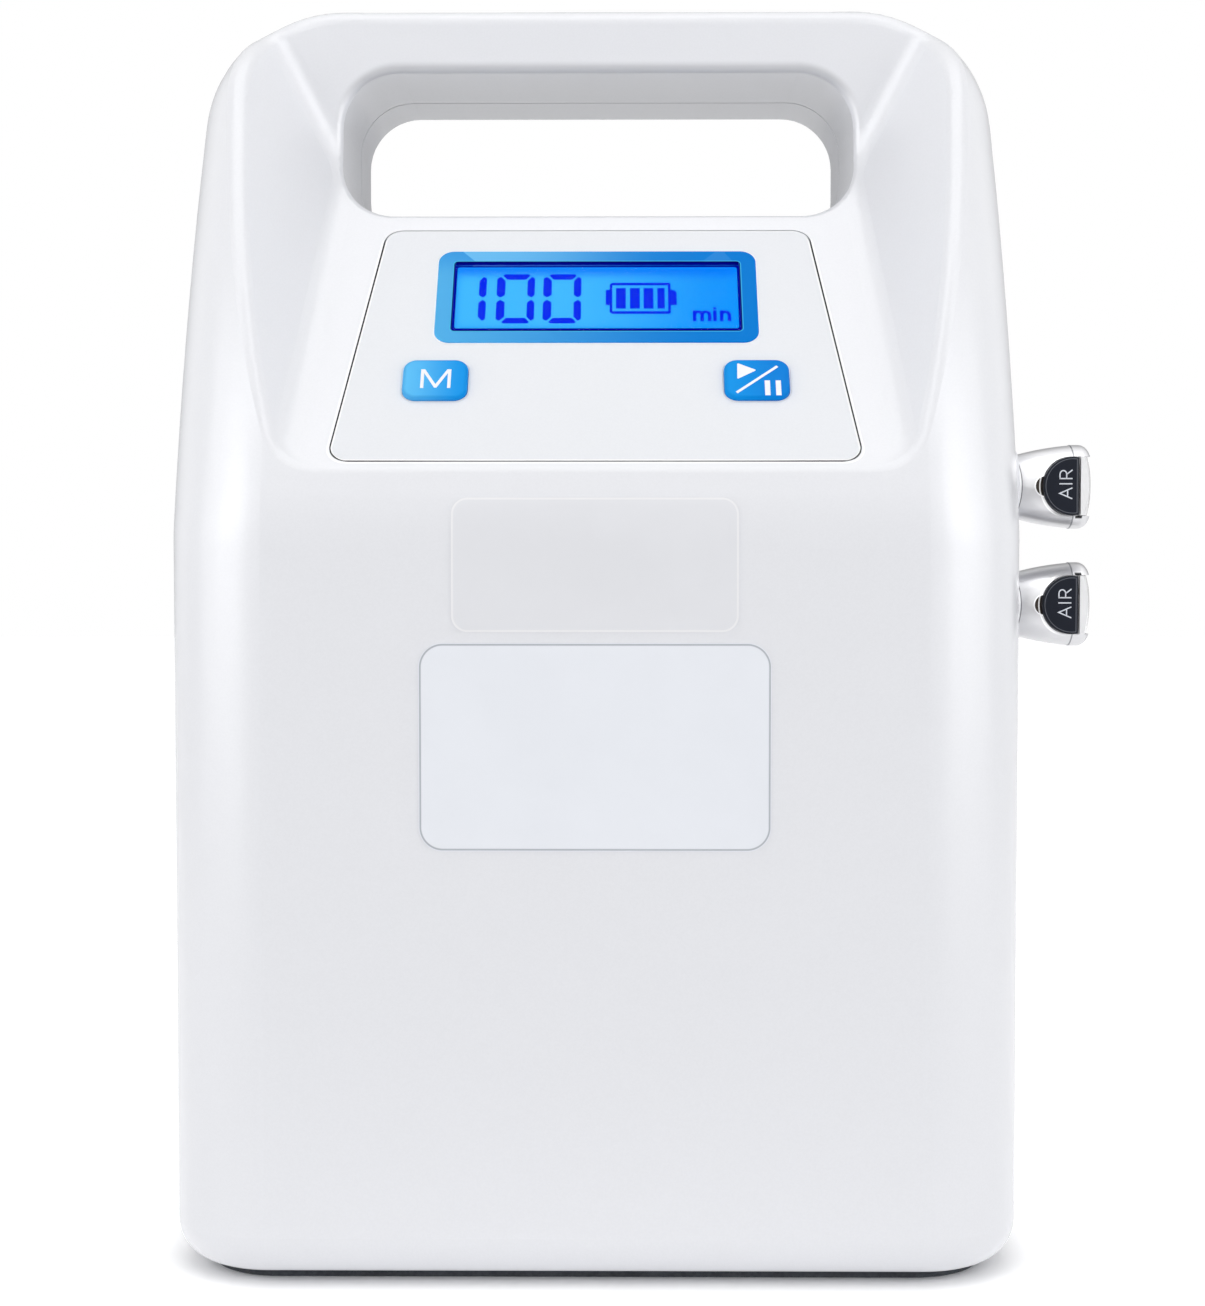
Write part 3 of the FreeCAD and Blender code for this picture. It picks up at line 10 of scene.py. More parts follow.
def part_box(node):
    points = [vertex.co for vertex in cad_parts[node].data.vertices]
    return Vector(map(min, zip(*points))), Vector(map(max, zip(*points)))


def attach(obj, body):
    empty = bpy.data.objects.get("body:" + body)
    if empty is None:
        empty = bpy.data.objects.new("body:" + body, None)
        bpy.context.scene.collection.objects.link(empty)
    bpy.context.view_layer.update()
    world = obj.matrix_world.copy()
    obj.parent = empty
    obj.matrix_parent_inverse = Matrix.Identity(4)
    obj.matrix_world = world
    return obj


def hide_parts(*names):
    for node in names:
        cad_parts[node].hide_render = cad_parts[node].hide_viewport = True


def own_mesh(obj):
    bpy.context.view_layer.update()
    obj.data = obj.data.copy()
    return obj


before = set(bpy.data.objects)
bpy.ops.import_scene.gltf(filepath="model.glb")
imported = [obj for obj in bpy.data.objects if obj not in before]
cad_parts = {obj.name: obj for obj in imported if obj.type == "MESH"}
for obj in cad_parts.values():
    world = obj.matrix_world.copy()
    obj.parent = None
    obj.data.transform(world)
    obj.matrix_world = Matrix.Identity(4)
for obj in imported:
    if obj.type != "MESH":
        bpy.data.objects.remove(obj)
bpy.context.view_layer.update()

bl_info = {
    "name": "Compression pump dresser",
    "version": (1, 0, 0),
    "blender": (4, 5, 0),
    "location": "3D View > Sidebar > Pump",
    "description": "Finishes, signs and display of a compression therapy pump, and the stage it stands on",
    "category": "Object",
}

MM = 0.001

# The control panel's own frame: its foot, and how far it leans back. Sizes on it are in millimetres.
PANEL_FOOT = Vector((0, -50.5 * MM, 152.8 * MM))
PANEL_LEAN = math.radians(50)
PANEL_PLACE = Matrix.Translation(PANEL_FOOT) @ Matrix.Rotation(PANEL_LEAN, 4, "X")

# The display: its opening, the frame round it, and the face of the glass behind its window.
DISPLAY_RISE = 42.7
VIEW_WIDTH, VIEW_HEIGHT, VIEW_CORNER = 55.7, 18.8, 0.6
FRAME_WIDTH, FRAME_HEIGHT, FRAME_CORNER = 62.3, 25.1, 3
GLASS_FACE = -1.3

# The lips round the display's frame and the keys, in a white brighter than the plate's as a painted
# highlight.
LIP_WIDTH, LIP_HEIGHT = 0.28, 0.09

# The plate that carries them: half its width at the middle, how fast that narrows, its height and corner.
PLATE_HALF, PLATE_TAPER, PLATE_HEIGHT, PLATE_CORNER = 45.5, 0.1238, 61.4, 3.5

# The gap round the plate, from the plate's outline: the places of its painted highlights on the housing and
# on the plate, and of its painted shade along the plate's edge and on the gap's walls.
HOUSING_HIGHLIGHT, PLATE_HIGHLIGHT, SEAM_HIGHLIGHT_WIDTH = -0.5, 0.2, 0.34
SEAM_EDGE, SEAM_EDGE_WIDTH = -0.02, 0.16
SEAM_WALL, SEAM_WALL_WIDTH = -0.1, 1.1

# The keys.
KEY_SIDE, KEY_RISE, KEY_FACE = 30.3, 20.05, 0.9
KEY_WIDTH, KEY_HEIGHT, KEY_CORNER, KEY_GAP = 12.3, 10, 2.6, 0.3

# The handle opening: half its width, its middle and its height, and the round of its ends.
GRIP_HALF, GRIP_RISE, GRIP_HEIGHT, GRIP_CORNER = 52, 218.3, 30.2, 11.5

# The round of the base pad's corners.
PAD_CORNER = 18

# The air couplers: the heights of their axes, their latches, notches and collars.
COUPLERS = {"upper": 148.6, "lower": 125.9}
LATCH_FACE = -33
LATCH_PLACE, LATCH_REACH, LATCH_END = 90.9, 5.6, 92.1
NOTCH_PLACE, NOTCH_REACH, NOTCH_FLOOR = 85.9, 1.9, -31.6
COLLAR_START = 91.4
PLATE_END = 94.97
ROOT_END = 81.5
COLLAR_ROUND = 93.9
FACING_SIDE = -30
# The painted shade of the slot by the latch: its place, length, rise and height.
SLOT_PLACE, SLOT_LENGTH, SLOT_RISE, SLOT_HEIGHT = 92.45, 1.3, -5.9, 0.6

# The latches' return springs: the radius of their wire, their turns, and the corners of one turn.
SPRING_WIRE, SPRING_TURNS, COIL_STEPS = 0.12, 3, 24

# The camera: its focal length and the drop of its axis, in pixels of a render this high, and its sensor.
FOCUS, AXIS_DROP, RENDER_HEIGHT = 2350, 108, 1306
SENSOR_WIDTH = 36


def linear(channel):
    """One channel of a screen colour, 0 to 255, as the light it stands for."""
    share = channel / 255
    return share / 12.92 if share <= 0.04045 else ((share + 0.055) / 1.055) ** 2.4


def tint(red, green, blue):
    """A screen colour, as the light it stands for."""
    return tuple(linear(channel) for channel in (red, green, blue))


def shaded(colour, share):
    """A colour with a share of its brightness."""
    return tuple(channel * share for channel in colour)


def colour_setting(name, description, *screen_colour):
    """A setting for a colour, whose default is given as a screen colour."""
    return FloatVectorProperty(name=name, description=description, default=tint(*screen_colour),
                               subtype="COLOR", size=3, min=0, max=1)


def length_setting(name, description, default):
    """A setting for a length, whose default is given in millimetres."""
    return FloatProperty(name=name, description=description, default=default * MM, unit="LENGTH",
                         subtype="DISTANCE", min=0, precision=5)


def share_setting(name, description, default):
    """A setting between 0 and 1."""
    return FloatProperty(name=name, description=description, default=default, subtype="FACTOR", min=0, max=1)


# ---------------------------------------------------------------- settings

class HousingSettings(PropertyGroup):
    """Housing halves, base pad and labels"""
    shell: colour_setting("Shell", "White of the moulded housing halves", 238, 239, 243)
    gloss: share_setting("Roughness", "Roughness of the polished shell", 0.26)
    grain: length_setting("Grain", "Width of the faint grain left by moulding", 0.4)
    pad: colour_setting("Pad", "Rubber of the base pad", 34, 38, 44)
    # Painted shade in the gap round the control panel.
    seam: colour_setting("Seam", "Dark seam round the control panel", 22, 22, 24)
    film: colour_setting("Lower label", "Printed ground of the lower label", 241, 244, 250)
    clear: colour_setting("Upper label", "Clear film of the upper label", 234, 235, 239)
    outline: colour_setting("Label outline", "Line round the lower label", 176, 180, 188)
    roof_shade: share_setting("Roof shade", "Brightness left on the handle opening's roof", 0.69)
    end_shade: share_setting("End shade", "Brightness left on the handle opening's ends", 0.97)


class PanelSettings(PropertyGroup):
    """Control panel, display frame and keys"""
    plate: colour_setting("Plate", "Satin white of the control panel", 236, 238, 242)
    # The lips are raised rings, in a white brighter than the plate's: a painted highlight.
    lip_highlight: colour_setting("Trim", "White lips round the display frame and the keys", 255, 255, 255)
    # Painted light: the keys and the display frame are lighter blue at their left and deeper blue at their
    # right.
    lit_blue: colour_setting("Left blue", "Blue of the mode key's left", 100, 200, 255)
    blue: colour_setting("Blue", "Blue between the two keys' ends", 16, 156, 242)
    shaded_blue: colour_setting("Right blue", "Blue of the start key's right", 4, 132, 226)
    sheen: colour_setting("Sheen", "Pale sheen across the top of the display frame", 120, 202, 252)
    sign: colour_setting("Signs", "White signs on the keys", 250, 251, 255)
    sign_thick: length_setting("Sign thickness", "How far a printed sign stands off its key", 0.04)


class DisplaySettings(PropertyGroup):
    """What the display shows, and its colours"""
    minutes: StringProperty(name="Minutes", description="Number that the display shows", default="100")
    bars: IntProperty(name="Battery bars", description="Filled bars in the battery sign", default=4,
                      min=0, max=4)
    glow: colour_setting("Glow", "Lit ground of the display", 66, 188, 255)
    glow_right: colour_setting("Right glow", "Ground of the display at its right", 12, 150, 255)
    # Painted shade along the display's head, under its frame.
    glow_head_shade: colour_setting("Edge glow", "Ground of the display along its top", 0, 112, 252)
    ink: colour_setting("Segments", "Switched-on segments", 8, 44, 246)
    # Painted shade round the lit ground and on the walls of the display's opening, also standing for the
    # display's own dark mask.
    border_shade: colour_setting("Border", "Deep blue round the lit ground", 2, 8, 158)
    glow_strength: FloatProperty(name="Backlight", description="How strongly the ground is lit",
                                 default=1.0, min=0, max=2)


class CouplerSettings(PropertyGroup):
    """Air couplers and their latches"""
    silver: colour_setting("Silver", "Satin plated coupler", 216, 216, 218)
    # Painted highlight: the metal latch plate is shown in white where the light falls on it.
    bright: colour_setting("Bright", "White plate at the coupler's end", 250, 250, 251)
    latch: colour_setting("Latch", "Black thumb latch", 17, 22, 34)
    word_colour: colour_setting("Word colour", "Printed word on the latches", 222, 226, 234)
    word_pen: length_setting("Word pen", "Width of the strokes of the printed word", 0.24)


class StageSettings(PropertyGroup):
    """Floor, camera and lamps"""
    floor: colour_setting("Floor", "Pale floor under the pump", 246, 246, 247)
    camera_place: FloatVectorProperty(name="Camera", description="Where the camera stands",
                                      default=(0.0052, -0.4826, 0.13735), subtype="TRANSLATION", size=3)
    camera_yaw: FloatProperty(name="Yaw", description="Camera turned to its left", subtype="ANGLE",
                              default=math.radians(0.51))
    camera_dip: FloatProperty(name="Dip", description="Camera tipped down", subtype="ANGLE",
                              default=math.atan(AXIS_DROP / FOCUS))
    focal_length: FloatProperty(name="Focal length", description="Of a 36 mm wide camera",
                                default=FOCUS * SENSOR_WIDTH / RENDER_HEIGHT, unit="CAMERA", min=1)
    room_light: FloatProperty(name="Room light", description="Strength of the even light all round",
                              default=0.36, min=0, max=2)
    top_light: FloatProperty(name="Top light", description="Power of the lamp overhead", default=2.8,
                             unit="POWER", min=0)
    side_light: FloatProperty(name="Side lights", description="Power of each lamp at the side",
                              default=5.05, unit="POWER", min=0)


# ---------------------------------------------------------------- finishes

class Nodes:
    """A node tree, with short ways to build in it."""

    def __init__(self, tree):
        self.tree = tree

    def feed(self, source, target):
        """Links an output to an input, or sets the input where the source is a plain value."""
        if isinstance(source, bpy.types.NodeSocket):
            self.tree.links.new(source, target)
        else:
            target.default_value = source

    def add(self, kind, *sources, **settings):
        """A new node with its settings, and with its first inputs fed."""
        made = self.tree.nodes.new(kind)
        for key, value in settings.items():
            setattr(made, key, value)
        for source, socket in zip(sources, made.inputs):
            self.feed(source, socket)
        return made

    def maths(self, operation, *values):
        """What an operation makes of values or outputs."""
        return self.add("ShaderNodeMath", *values, operation=operation).outputs[0]

    def times(self, first, *others):
        """The product of values or outputs."""
        for other in others:
            first = self.maths("MULTIPLY", first, other)
        return first

    def less(self, value, other):
        """What is left of a value when another is taken from it."""
        return self.maths("SUBTRACT", value, other)

    def spread(self, value, low, high, to_low=0.0, to_high=1.0):
        """Takes a value smoothly from one range to another, clamped at both ends."""
        return self.add("ShaderNodeMapRange", value, low, high, to_low, to_high,
                        interpolation_type="SMOOTHSTEP").outputs[0]

    def parts(self, source):
        """The three parts of a place."""
        return self.add("ShaderNodeSeparateXYZ", source).outputs


class Finish(Nodes):
    """A material with one Principled shader, and short ways to lay detail on it."""

    def __init__(self, name, colour, rough, metal=0.0, coat=0.0):
        self.material = bpy.data.materials.new(name)
        self.material.use_nodes = True
        super().__init__(self.material.node_tree)
        self.shader = self.tree.nodes["Principled BSDF"]
        self.colour = (*colour, 1)
        self.set("Base Color", self.colour)
        self.set("Roughness", rough)
        self.set("Metallic", metal)
        self.set("Coat Weight", coat)
        self.place = self.add("ShaderNodeTexCoord").outputs["Object"]

    def set(self, socket, value):
        """Gives the shader a plain value."""
        self.shader.inputs[socket].default_value = value

    def line(self, value, place, width, soft=0.06):
        """One on a line where the value is near a place, and zero beyond it."""
        off = self.maths("ABSOLUTE", self.less(value, place))
        return self.spread(off, width / 2 - soft, width / 2 + soft, 1.0, 0.0)

    def blend(self, share, first, second):
        """Mixes two colours; each may be a colour or an output."""
        made = self.add("ShaderNodeMix", data_type="RGBA")
        self.feed(share, made.inputs["Factor"])
        for source, socket in zip((first, second), made.inputs[6:8]):
            self.feed(source if isinstance(source, bpy.types.NodeSocket) else (*source[:3], 1), socket)
        return made.outputs[2]

    def noise(self, size, detail=2.0, stretch=(1, 1, 1)):
        """Noise whose lumps are about the given size in metres."""
        made = self.add("ShaderNodeTexNoise", self.mapped(stretch))
        made.inputs["Scale"].default_value = 1 / size
        made.inputs["Detail"].default_value = detail
        return made.outputs["Fac"]

    def ripple(self, height_map, height, strength=1.0):
        """Bumps the surface by a height in metres."""
        made = self.add("ShaderNodeBump")
        made.inputs["Strength"].default_value = strength
        made.inputs["Distance"].default_value = height
        self.feed(height_map, made.inputs["Height"])
        self.feed(made.outputs[0], self.shader.inputs["Normal"])

    def roughen(self, mask, low, high):
        """Takes the roughness from low to high where the mask is high."""
        self.feed(self.spread(mask, 0.3, 0.7, low, high), self.shader.inputs["Roughness"])

    def polish(self, size, low, high, depth):
        """A very fine grain in the roughness and the surface, as polished plastic has."""
        grain = self.noise(size, detail=1.0)
        self.roughen(grain, low, high)
        self.ripple(grain, depth * MM, 0.3)
        return grain

    def paint(self, share, other):
        """Lays another colour over the base colour by a share."""
        socket = self.shader.inputs["Base Color"]
        first = socket.links[0].from_socket if socket.is_linked else self.colour
        self.feed(self.blend(share, first, other), socket)

    def stain(self, mask, other, low=0.3, high=0.7, most=1.0):
        """Takes the base colour towards another where the mask is high."""
        self.paint(self.spread(mask, low, high, 0.0, most), other)

    def glow(self, strength):
        """Makes the surface shine in its own base colour, and dark to the light of the room."""
        painted = self.shader.inputs["Base Color"].links[0]
        self.feed(painted.from_socket, self.shader.inputs["Emission Color"])
        self.tree.links.remove(painted)
        self.set("Base Color", (0, 0, 0, 1))
        self.set("Specular IOR Level", 0)
        self.set("Emission Strength", strength)

    def mapped(self, scale, start=(0, 0, 0), turn=0.0, kind="POINT"):
        """Places that are moved, turned about X and scaled."""
        return self.add("ShaderNodeMapping", self.place, start, (turn, 0, 0), scale,
                        vector_type=kind).outputs[0]

    def scaled_place(self, turn=0.0):
        """Places in millimetres."""
        return self.mapped((1 / MM, 1 / MM, 1 / MM), turn=turn)

    def panel_place(self):
        """Places on the leaning panel, in millimetres from its foot."""
        return self.mapped((MM, MM, MM), PANEL_FOOT, PANEL_LEAN, "TEXTURE")

    def reach(self, across, up):
        """The distance from the origin."""
        squares = [self.times(side, side) for side in (across, up)]
        return self.maths("SQRT", self.maths("ADD", *squares))

    def inset(self, across, up, width, height, corner):
        """How far a place lies inside a rounded frame about the origin; less than zero outside it."""
        beyond = [self.less(self.maths("ABSOLUTE", value), size / 2 - corner)
                  for value, size in ((across, width), (up, height))]
        outside = self.reach(*(self.maths("MAXIMUM", side, 0.0) for side in beyond))
        inside = self.maths("MINIMUM", self.maths("MAXIMUM", *beyond), 0.0)
        return self.less(corner, self.maths("ADD", outside, inside))

    def plate_depth(self, across, up):
        """How far a place on the panel lies inside the plate's outline, which narrows upwards."""
        above = self.less(up, PLATE_HEIGHT / 2)
        out = self.maths("ADD", self.maths("ABSOLUTE", across), self.times(above, PLATE_TAPER))
        return self.inset(out, above, PLATE_HALF * 2, PLATE_HEIGHT, PLATE_CORNER)

    def draw_seam(self, across, up, out, seam, highlight_place):
        """Paints shade into the gap round the plate, on its walls and along its mouth, and a painted
        highlight on the edge beside it.
        """
        depth = self.plate_depth(across, up)
        # The painted shade and highlights are faint along the plate's head, the shade also towards its
        # middle, and all of it ends behind the panel.
        near = self.times(self.spread(up, PLATE_HEIGHT - 4, PLATE_HEIGHT - 1.5, 1.0, 0.12),
                          self.line(out, -1, 4))
        sides = self.spread(self.maths("ABSOLUTE", across), 20, 46, 0.55, 1.0)
        # A painted highlight on the edge beside the gap.
        level = self.times(self.line(depth, highlight_place, SEAM_HIGHLIGHT_WIDTH, 0.1), self.spread(out, -0.06, -0.02))
        self.paint(self.times(level, near), (1, 1, 1))
        # Painted shade along the gap's mouth and on its walls.
        edge = self.line(depth, SEAM_EDGE, SEAM_EDGE_WIDTH, 0.05)
        self.paint(self.times(edge, near, sides, sides), seam)
        walls = self.times(self.line(depth, SEAM_WALL, SEAM_WALL_WIDTH), self.spread(out, -0.04, -0.14))
        self.paint(self.times(walls, near, sides), seam)


def dress(finish, *names):
    """Gives CAD nodes a finish through their material slots."""
    for name in names:
        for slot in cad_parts[name].material_slots:
            slot.material = finish.material


def moulded(name, colour, rough, grain=1.5, depth=0.01):
    """Moulded plastic: slow clouds in its colour, a fine grain and an uneven polish."""
    finish = Finish(name, colour, rough)
    fine = finish.noise(grain * MM, detail=3.0)
    finish.stain(finish.noise(grain * 8 * MM, detail=1.0), shaded(colour, 0.965))
    finish.roughen(fine, rough * 0.9, rough * 1.12)
    finish.ripple(fine, depth * MM, 0.35)
    return finish


def machined(name, colour, rough, along, line=0.25):
    """Metal with fine tool lines along one axis, and an uneven shine."""
    finish = Finish(name, colour, rough, metal=1.0)
    stretch = [1.0, 1.0, 1.0]
    stretch["XYZ".index(along)] = 0.04
    lines = finish.noise(line * MM, detail=4.0, stretch=stretch)
    finish.stain(finish.noise(6 * MM), shaded(colour, 0.9))
    finish.roughen(lines, rough * 0.85, rough * 1.2)
    finish.ripple(lines, 0.004 * MM, 0.35)
    return finish


def plated(name, colour, rough):
    """Satin plating: smooth, with faint clouds in its shine."""
    finish = Finish(name, colour, rough, metal=1.0)
    clouds = finish.noise(5 * MM)
    finish.stain(clouds, shaded(colour, 0.97))
    finish.roughen(clouds, rough * 0.92, rough * 1.1)
    finish.ripple(finish.noise(0.3 * MM, detail=1.0), 0.001 * MM, 0.3)
    return finish


def rubber(name, colour, rough=0.72, grain=0.6):
    """Matt rubber with a fine pebble and a bloom of dust."""
    finish = Finish(name, colour, rough)
    pebble = finish.noise(grain * MM, detail=3.0)
    finish.stain(finish.noise(9 * MM, detail=3.0), tuple(min(1, c * 1.5 + 0.004) for c in colour))
    finish.roughen(pebble, rough * 0.85, min(1, rough * 1.2))
    finish.ripple(pebble, 0.03 * MM, 0.6)
    return finish


# ---------------------------------------------------------------- shapes

def placed(name, data):
    """A new object in the scene."""
    made = bpy.data.objects.new(name, data)
    bpy.context.scene.collection.objects.link(made)
    return made


def aimed(name, data, place, direction):
    """A new lamp or camera that looks along a direction."""
    made = placed(name, data)
    made.location = place
    made.rotation_mode = "QUATERNION"
    made.rotation_quaternion = direction.to_track_quat("-Z", "Y")
    return made


def piece(name, mesh, place, body, finish):
    """A named piece that rides on a body, with its finish."""
    made = placed(name, mesh)
    mesh.transform(place)
    mesh.materials.append(finish.material)
    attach(made, body)
    return made


def finished_mesh(name, shape):
    """A mesh in metres from a shape drawn in millimetres."""
    bmesh.ops.recalc_face_normals(shape, faces=shape.faces)
    bmesh.ops.scale(shape, vec=(MM, MM, MM), verts=shape.verts)
    mesh = bpy.data.meshes.new(name)
    shape.to_mesh(mesh)
    shape.free()
    return mesh


def thickened(name, outlines, low, high):
    """A mesh of flat plates, in millimetres, each drawn as a loop of points and given thickness."""
    shape = bmesh.new()
    for outline in outlines:
        face = shape.faces.new([shape.verts.new((x, y, low)) for x, y in outline])
        raised = bmesh.ops.extrude_face_region(shape, geom=[face], use_keep_orig=True)
        bmesh.ops.translate(shape, vec=(0, 0, high - low),
                            verts=[v for v in raised["geom"] if isinstance(v, bmesh.types.BMVert)])
    return finished_mesh(name, shape)


def moved(points, across, up):
    """Points shifted across and up."""
    return [(x + across, y + up) for x, y in points]


def slab(left, right, low, high):
    """The corners of an upright rectangle."""
    return [(left, low), (right, low), (right, high), (left, high)]


def pen_path(points, width):
    """The outline of a pen line along a path, mitred at its corners and cut square at its ends."""
    sides = []
    for (x0, y0), (x1, y1) in zip(points, points[1:]):
        length = math.hypot(x1 - x0, y1 - y0)
        sides.append(((y0 - y1) / length, (x1 - x0) / length))
    left, right = [], []
    for (x, y), before, after in zip(points, [sides[0], *sides], [*sides, sides[-1]]):
        side_x, side_y = (before[0] + after[0]) / 2, (before[1] + after[1]) / 2
        mitre = width / 2 / (side_x ** 2 + side_y ** 2)
        left.append((x + side_x * mitre, y + side_y * mitre))
        right.append((x - side_x * mitre, y - side_y * mitre))
    return left + right[::-1]


def arc(middle_x, middle_y, radius_x, radius_y, start, end, steps=8):
    """Points along part of an oval, from one angle to another in degrees."""
    angles = [math.radians(start + (end - start) * step / steps) for step in range(steps + 1)]
    return [(middle_x + radius_x * math.cos(angle), middle_y + radius_y * math.sin(angle))
            for angle in angles]


def rounded_frame(width, height, corner):
    """A rectangle with round corners, as a loop of points about the origin."""
    loop = []
    for turn, (side_x, side_y) in enumerate(((1, 1), (-1, 1), (-1, -1), (1, -1))):
        loop += arc(side_x * (width / 2 - corner), side_y * (height / 2 - corner), corner, corner,
                    turn * 90, turn * 90 + 90)
    return loop


def skin(shape, rows):
    """Joins each closed row of points to the next with faces."""
    for lower, upper in zip(rows, rows[1:]):
        for index in range(len(lower)):
            after = (index + 1) % len(lower)
            shape.faces.new((lower[index], lower[after], upper[after], upper[index]))


def lip(name, width, height, corner, clear, thick, middle, low, high):
    """A flat ring round a rounded frame, clear of it, with a crowned top; in millimetres."""
    shape = bmesh.new()
    rows = []
    crown = (high - low) * 0.3
    for out, level in ((thick, low), (thick, high - crown), (thick - crown, high), (clear + crown, high),
                       (clear, high - crown), (clear, low)):
        loop = rounded_frame(width + 2 * out, height + 2 * out, corner + out)
        rows.append([shape.verts.new((x, y, level)) for x, y in moved(loop, *middle)])
    skin(shape, rows + rows[:1])
    return finished_mesh(name, shape)


def coil(name, radius, wire, turns, height):
    """A spring of round wire that stands on the origin, in millimetres."""
    shape = bmesh.new()
    steps = turns * COIL_STEPS
    section = arc(0, 0, wire, wire, 0, 360)[:-1]
    rows = []
    for step in range(steps + 1):
        angle = 2 * math.pi * step / COIL_STEPS
        out_x, out_y = math.cos(angle), math.sin(angle)
        rise = wire + (height - 2 * wire) * step / steps
        rows.append([shape.verts.new(((radius + x) * out_x, (radius + x) * out_y, rise + y))
                     for x, y in section])
    skin(shape, rows)
    shape.faces.new(rows[0])
    shape.faces.new(rows[-1])
    return finished_mesh(name, shape)


# ---------------------------------------------------------------- operators

class DressHousing(Operator):
    """Finishes the housing halves in polished white plastic"""
    bl_idname = "pump.dress_housing"
    bl_label = "Housing"

    def execute(self, context):
        look = context.scene.pump_housing
        shell = Finish("housing_white", look.shell, look.gloss)
        grain = shell.polish(look.grain, look.gloss * 0.95, look.gloss * 1.05, 0.0004)
        shell.stain(grain, shaded(look.shell, 0.985))
        shell.set("Specular IOR Level", 0.8)
        across, _, up = shell.parts(shell.scaled_place())
        inside = shell.inset(across, shell.less(up, GRIP_RISE), GRIP_HALF * 2, GRIP_HEIGHT, GRIP_CORNER)
        # Painted shade inside the handle opening: its ends first, and then its roof.
        opening_shade = shell.spread(inside, -2.4, -0.7)
        for low, high, shade in ((GRIP_RISE - 15, GRIP_RISE - 7, look.end_shade),
                                 (GRIP_RISE + 8, GRIP_RISE + 14, look.roof_shade)):
            shell.paint(shell.times(opening_shade, shell.spread(up, low, high)), shaded(look.shell, shade))
        shell.draw_seam(*shell.parts(shell.panel_place()), look.seam, HOUSING_HIGHLIGHT)
        dress(shell, "front_housing", "rear_housing")
        dress(machined("screw_steel", tint(176, 178, 182), 0.34, "Z"), "housing_screws", "chassis_screws",
              "main_board_screws", "panel_board_screws")
        return {"FINISHED"}


class DressBase(Operator):
    """Finishes the rubber pad under the housing"""
    bl_idname = "pump.dress_base"
    bl_label = "Base pad"

    def execute(self, context):
        dress(rubber("pad_black", context.scene.pump_housing.pad), "base_pad")
        return {"FINISHED"}


class DressLabels(Operator):
    """Finishes the two stick-on labels, left bare inside their outlines"""
    bl_idname = "pump.dress_labels"
    bl_label = "Labels"

    def label(self, name, ground, line, node, corner, rough, line_inset, line_width):
        """A film with a thin line inside its edge."""
        low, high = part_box(node)
        film = Finish(name, ground, rough)
        across, _, up = film.parts(film.scaled_place())
        up = film.less(up, (low.z + high.z) / 2 / MM)
        depth = film.inset(across, up, (high.x - low.x) / MM, (high.z - low.z) / MM, corner)
        fibres = film.noise(1.6 * MM, detail=3.0)
        film.stain(film.noise(12 * MM, detail=1.0), shaded(ground, 0.985))
        film.paint(film.line(depth, line_inset, line_width, 0.12), line)
        film.roughen(fibres, rough * 0.92, rough * 1.1)
        film.ripple(fibres, 0.002 * MM, 0.3)
        dress(film, node)

    def execute(self, context):
        look = context.scene.pump_housing
        self.label("label_print", look.film, look.outline, "lower_label", 4.4, 0.34, 0.3, 0.3)
        self.label("label_clear", look.clear, tint(246, 246, 248), "upper_label", 3, 0.3, 0.2, 0.35)
        return {"FINISHED"}


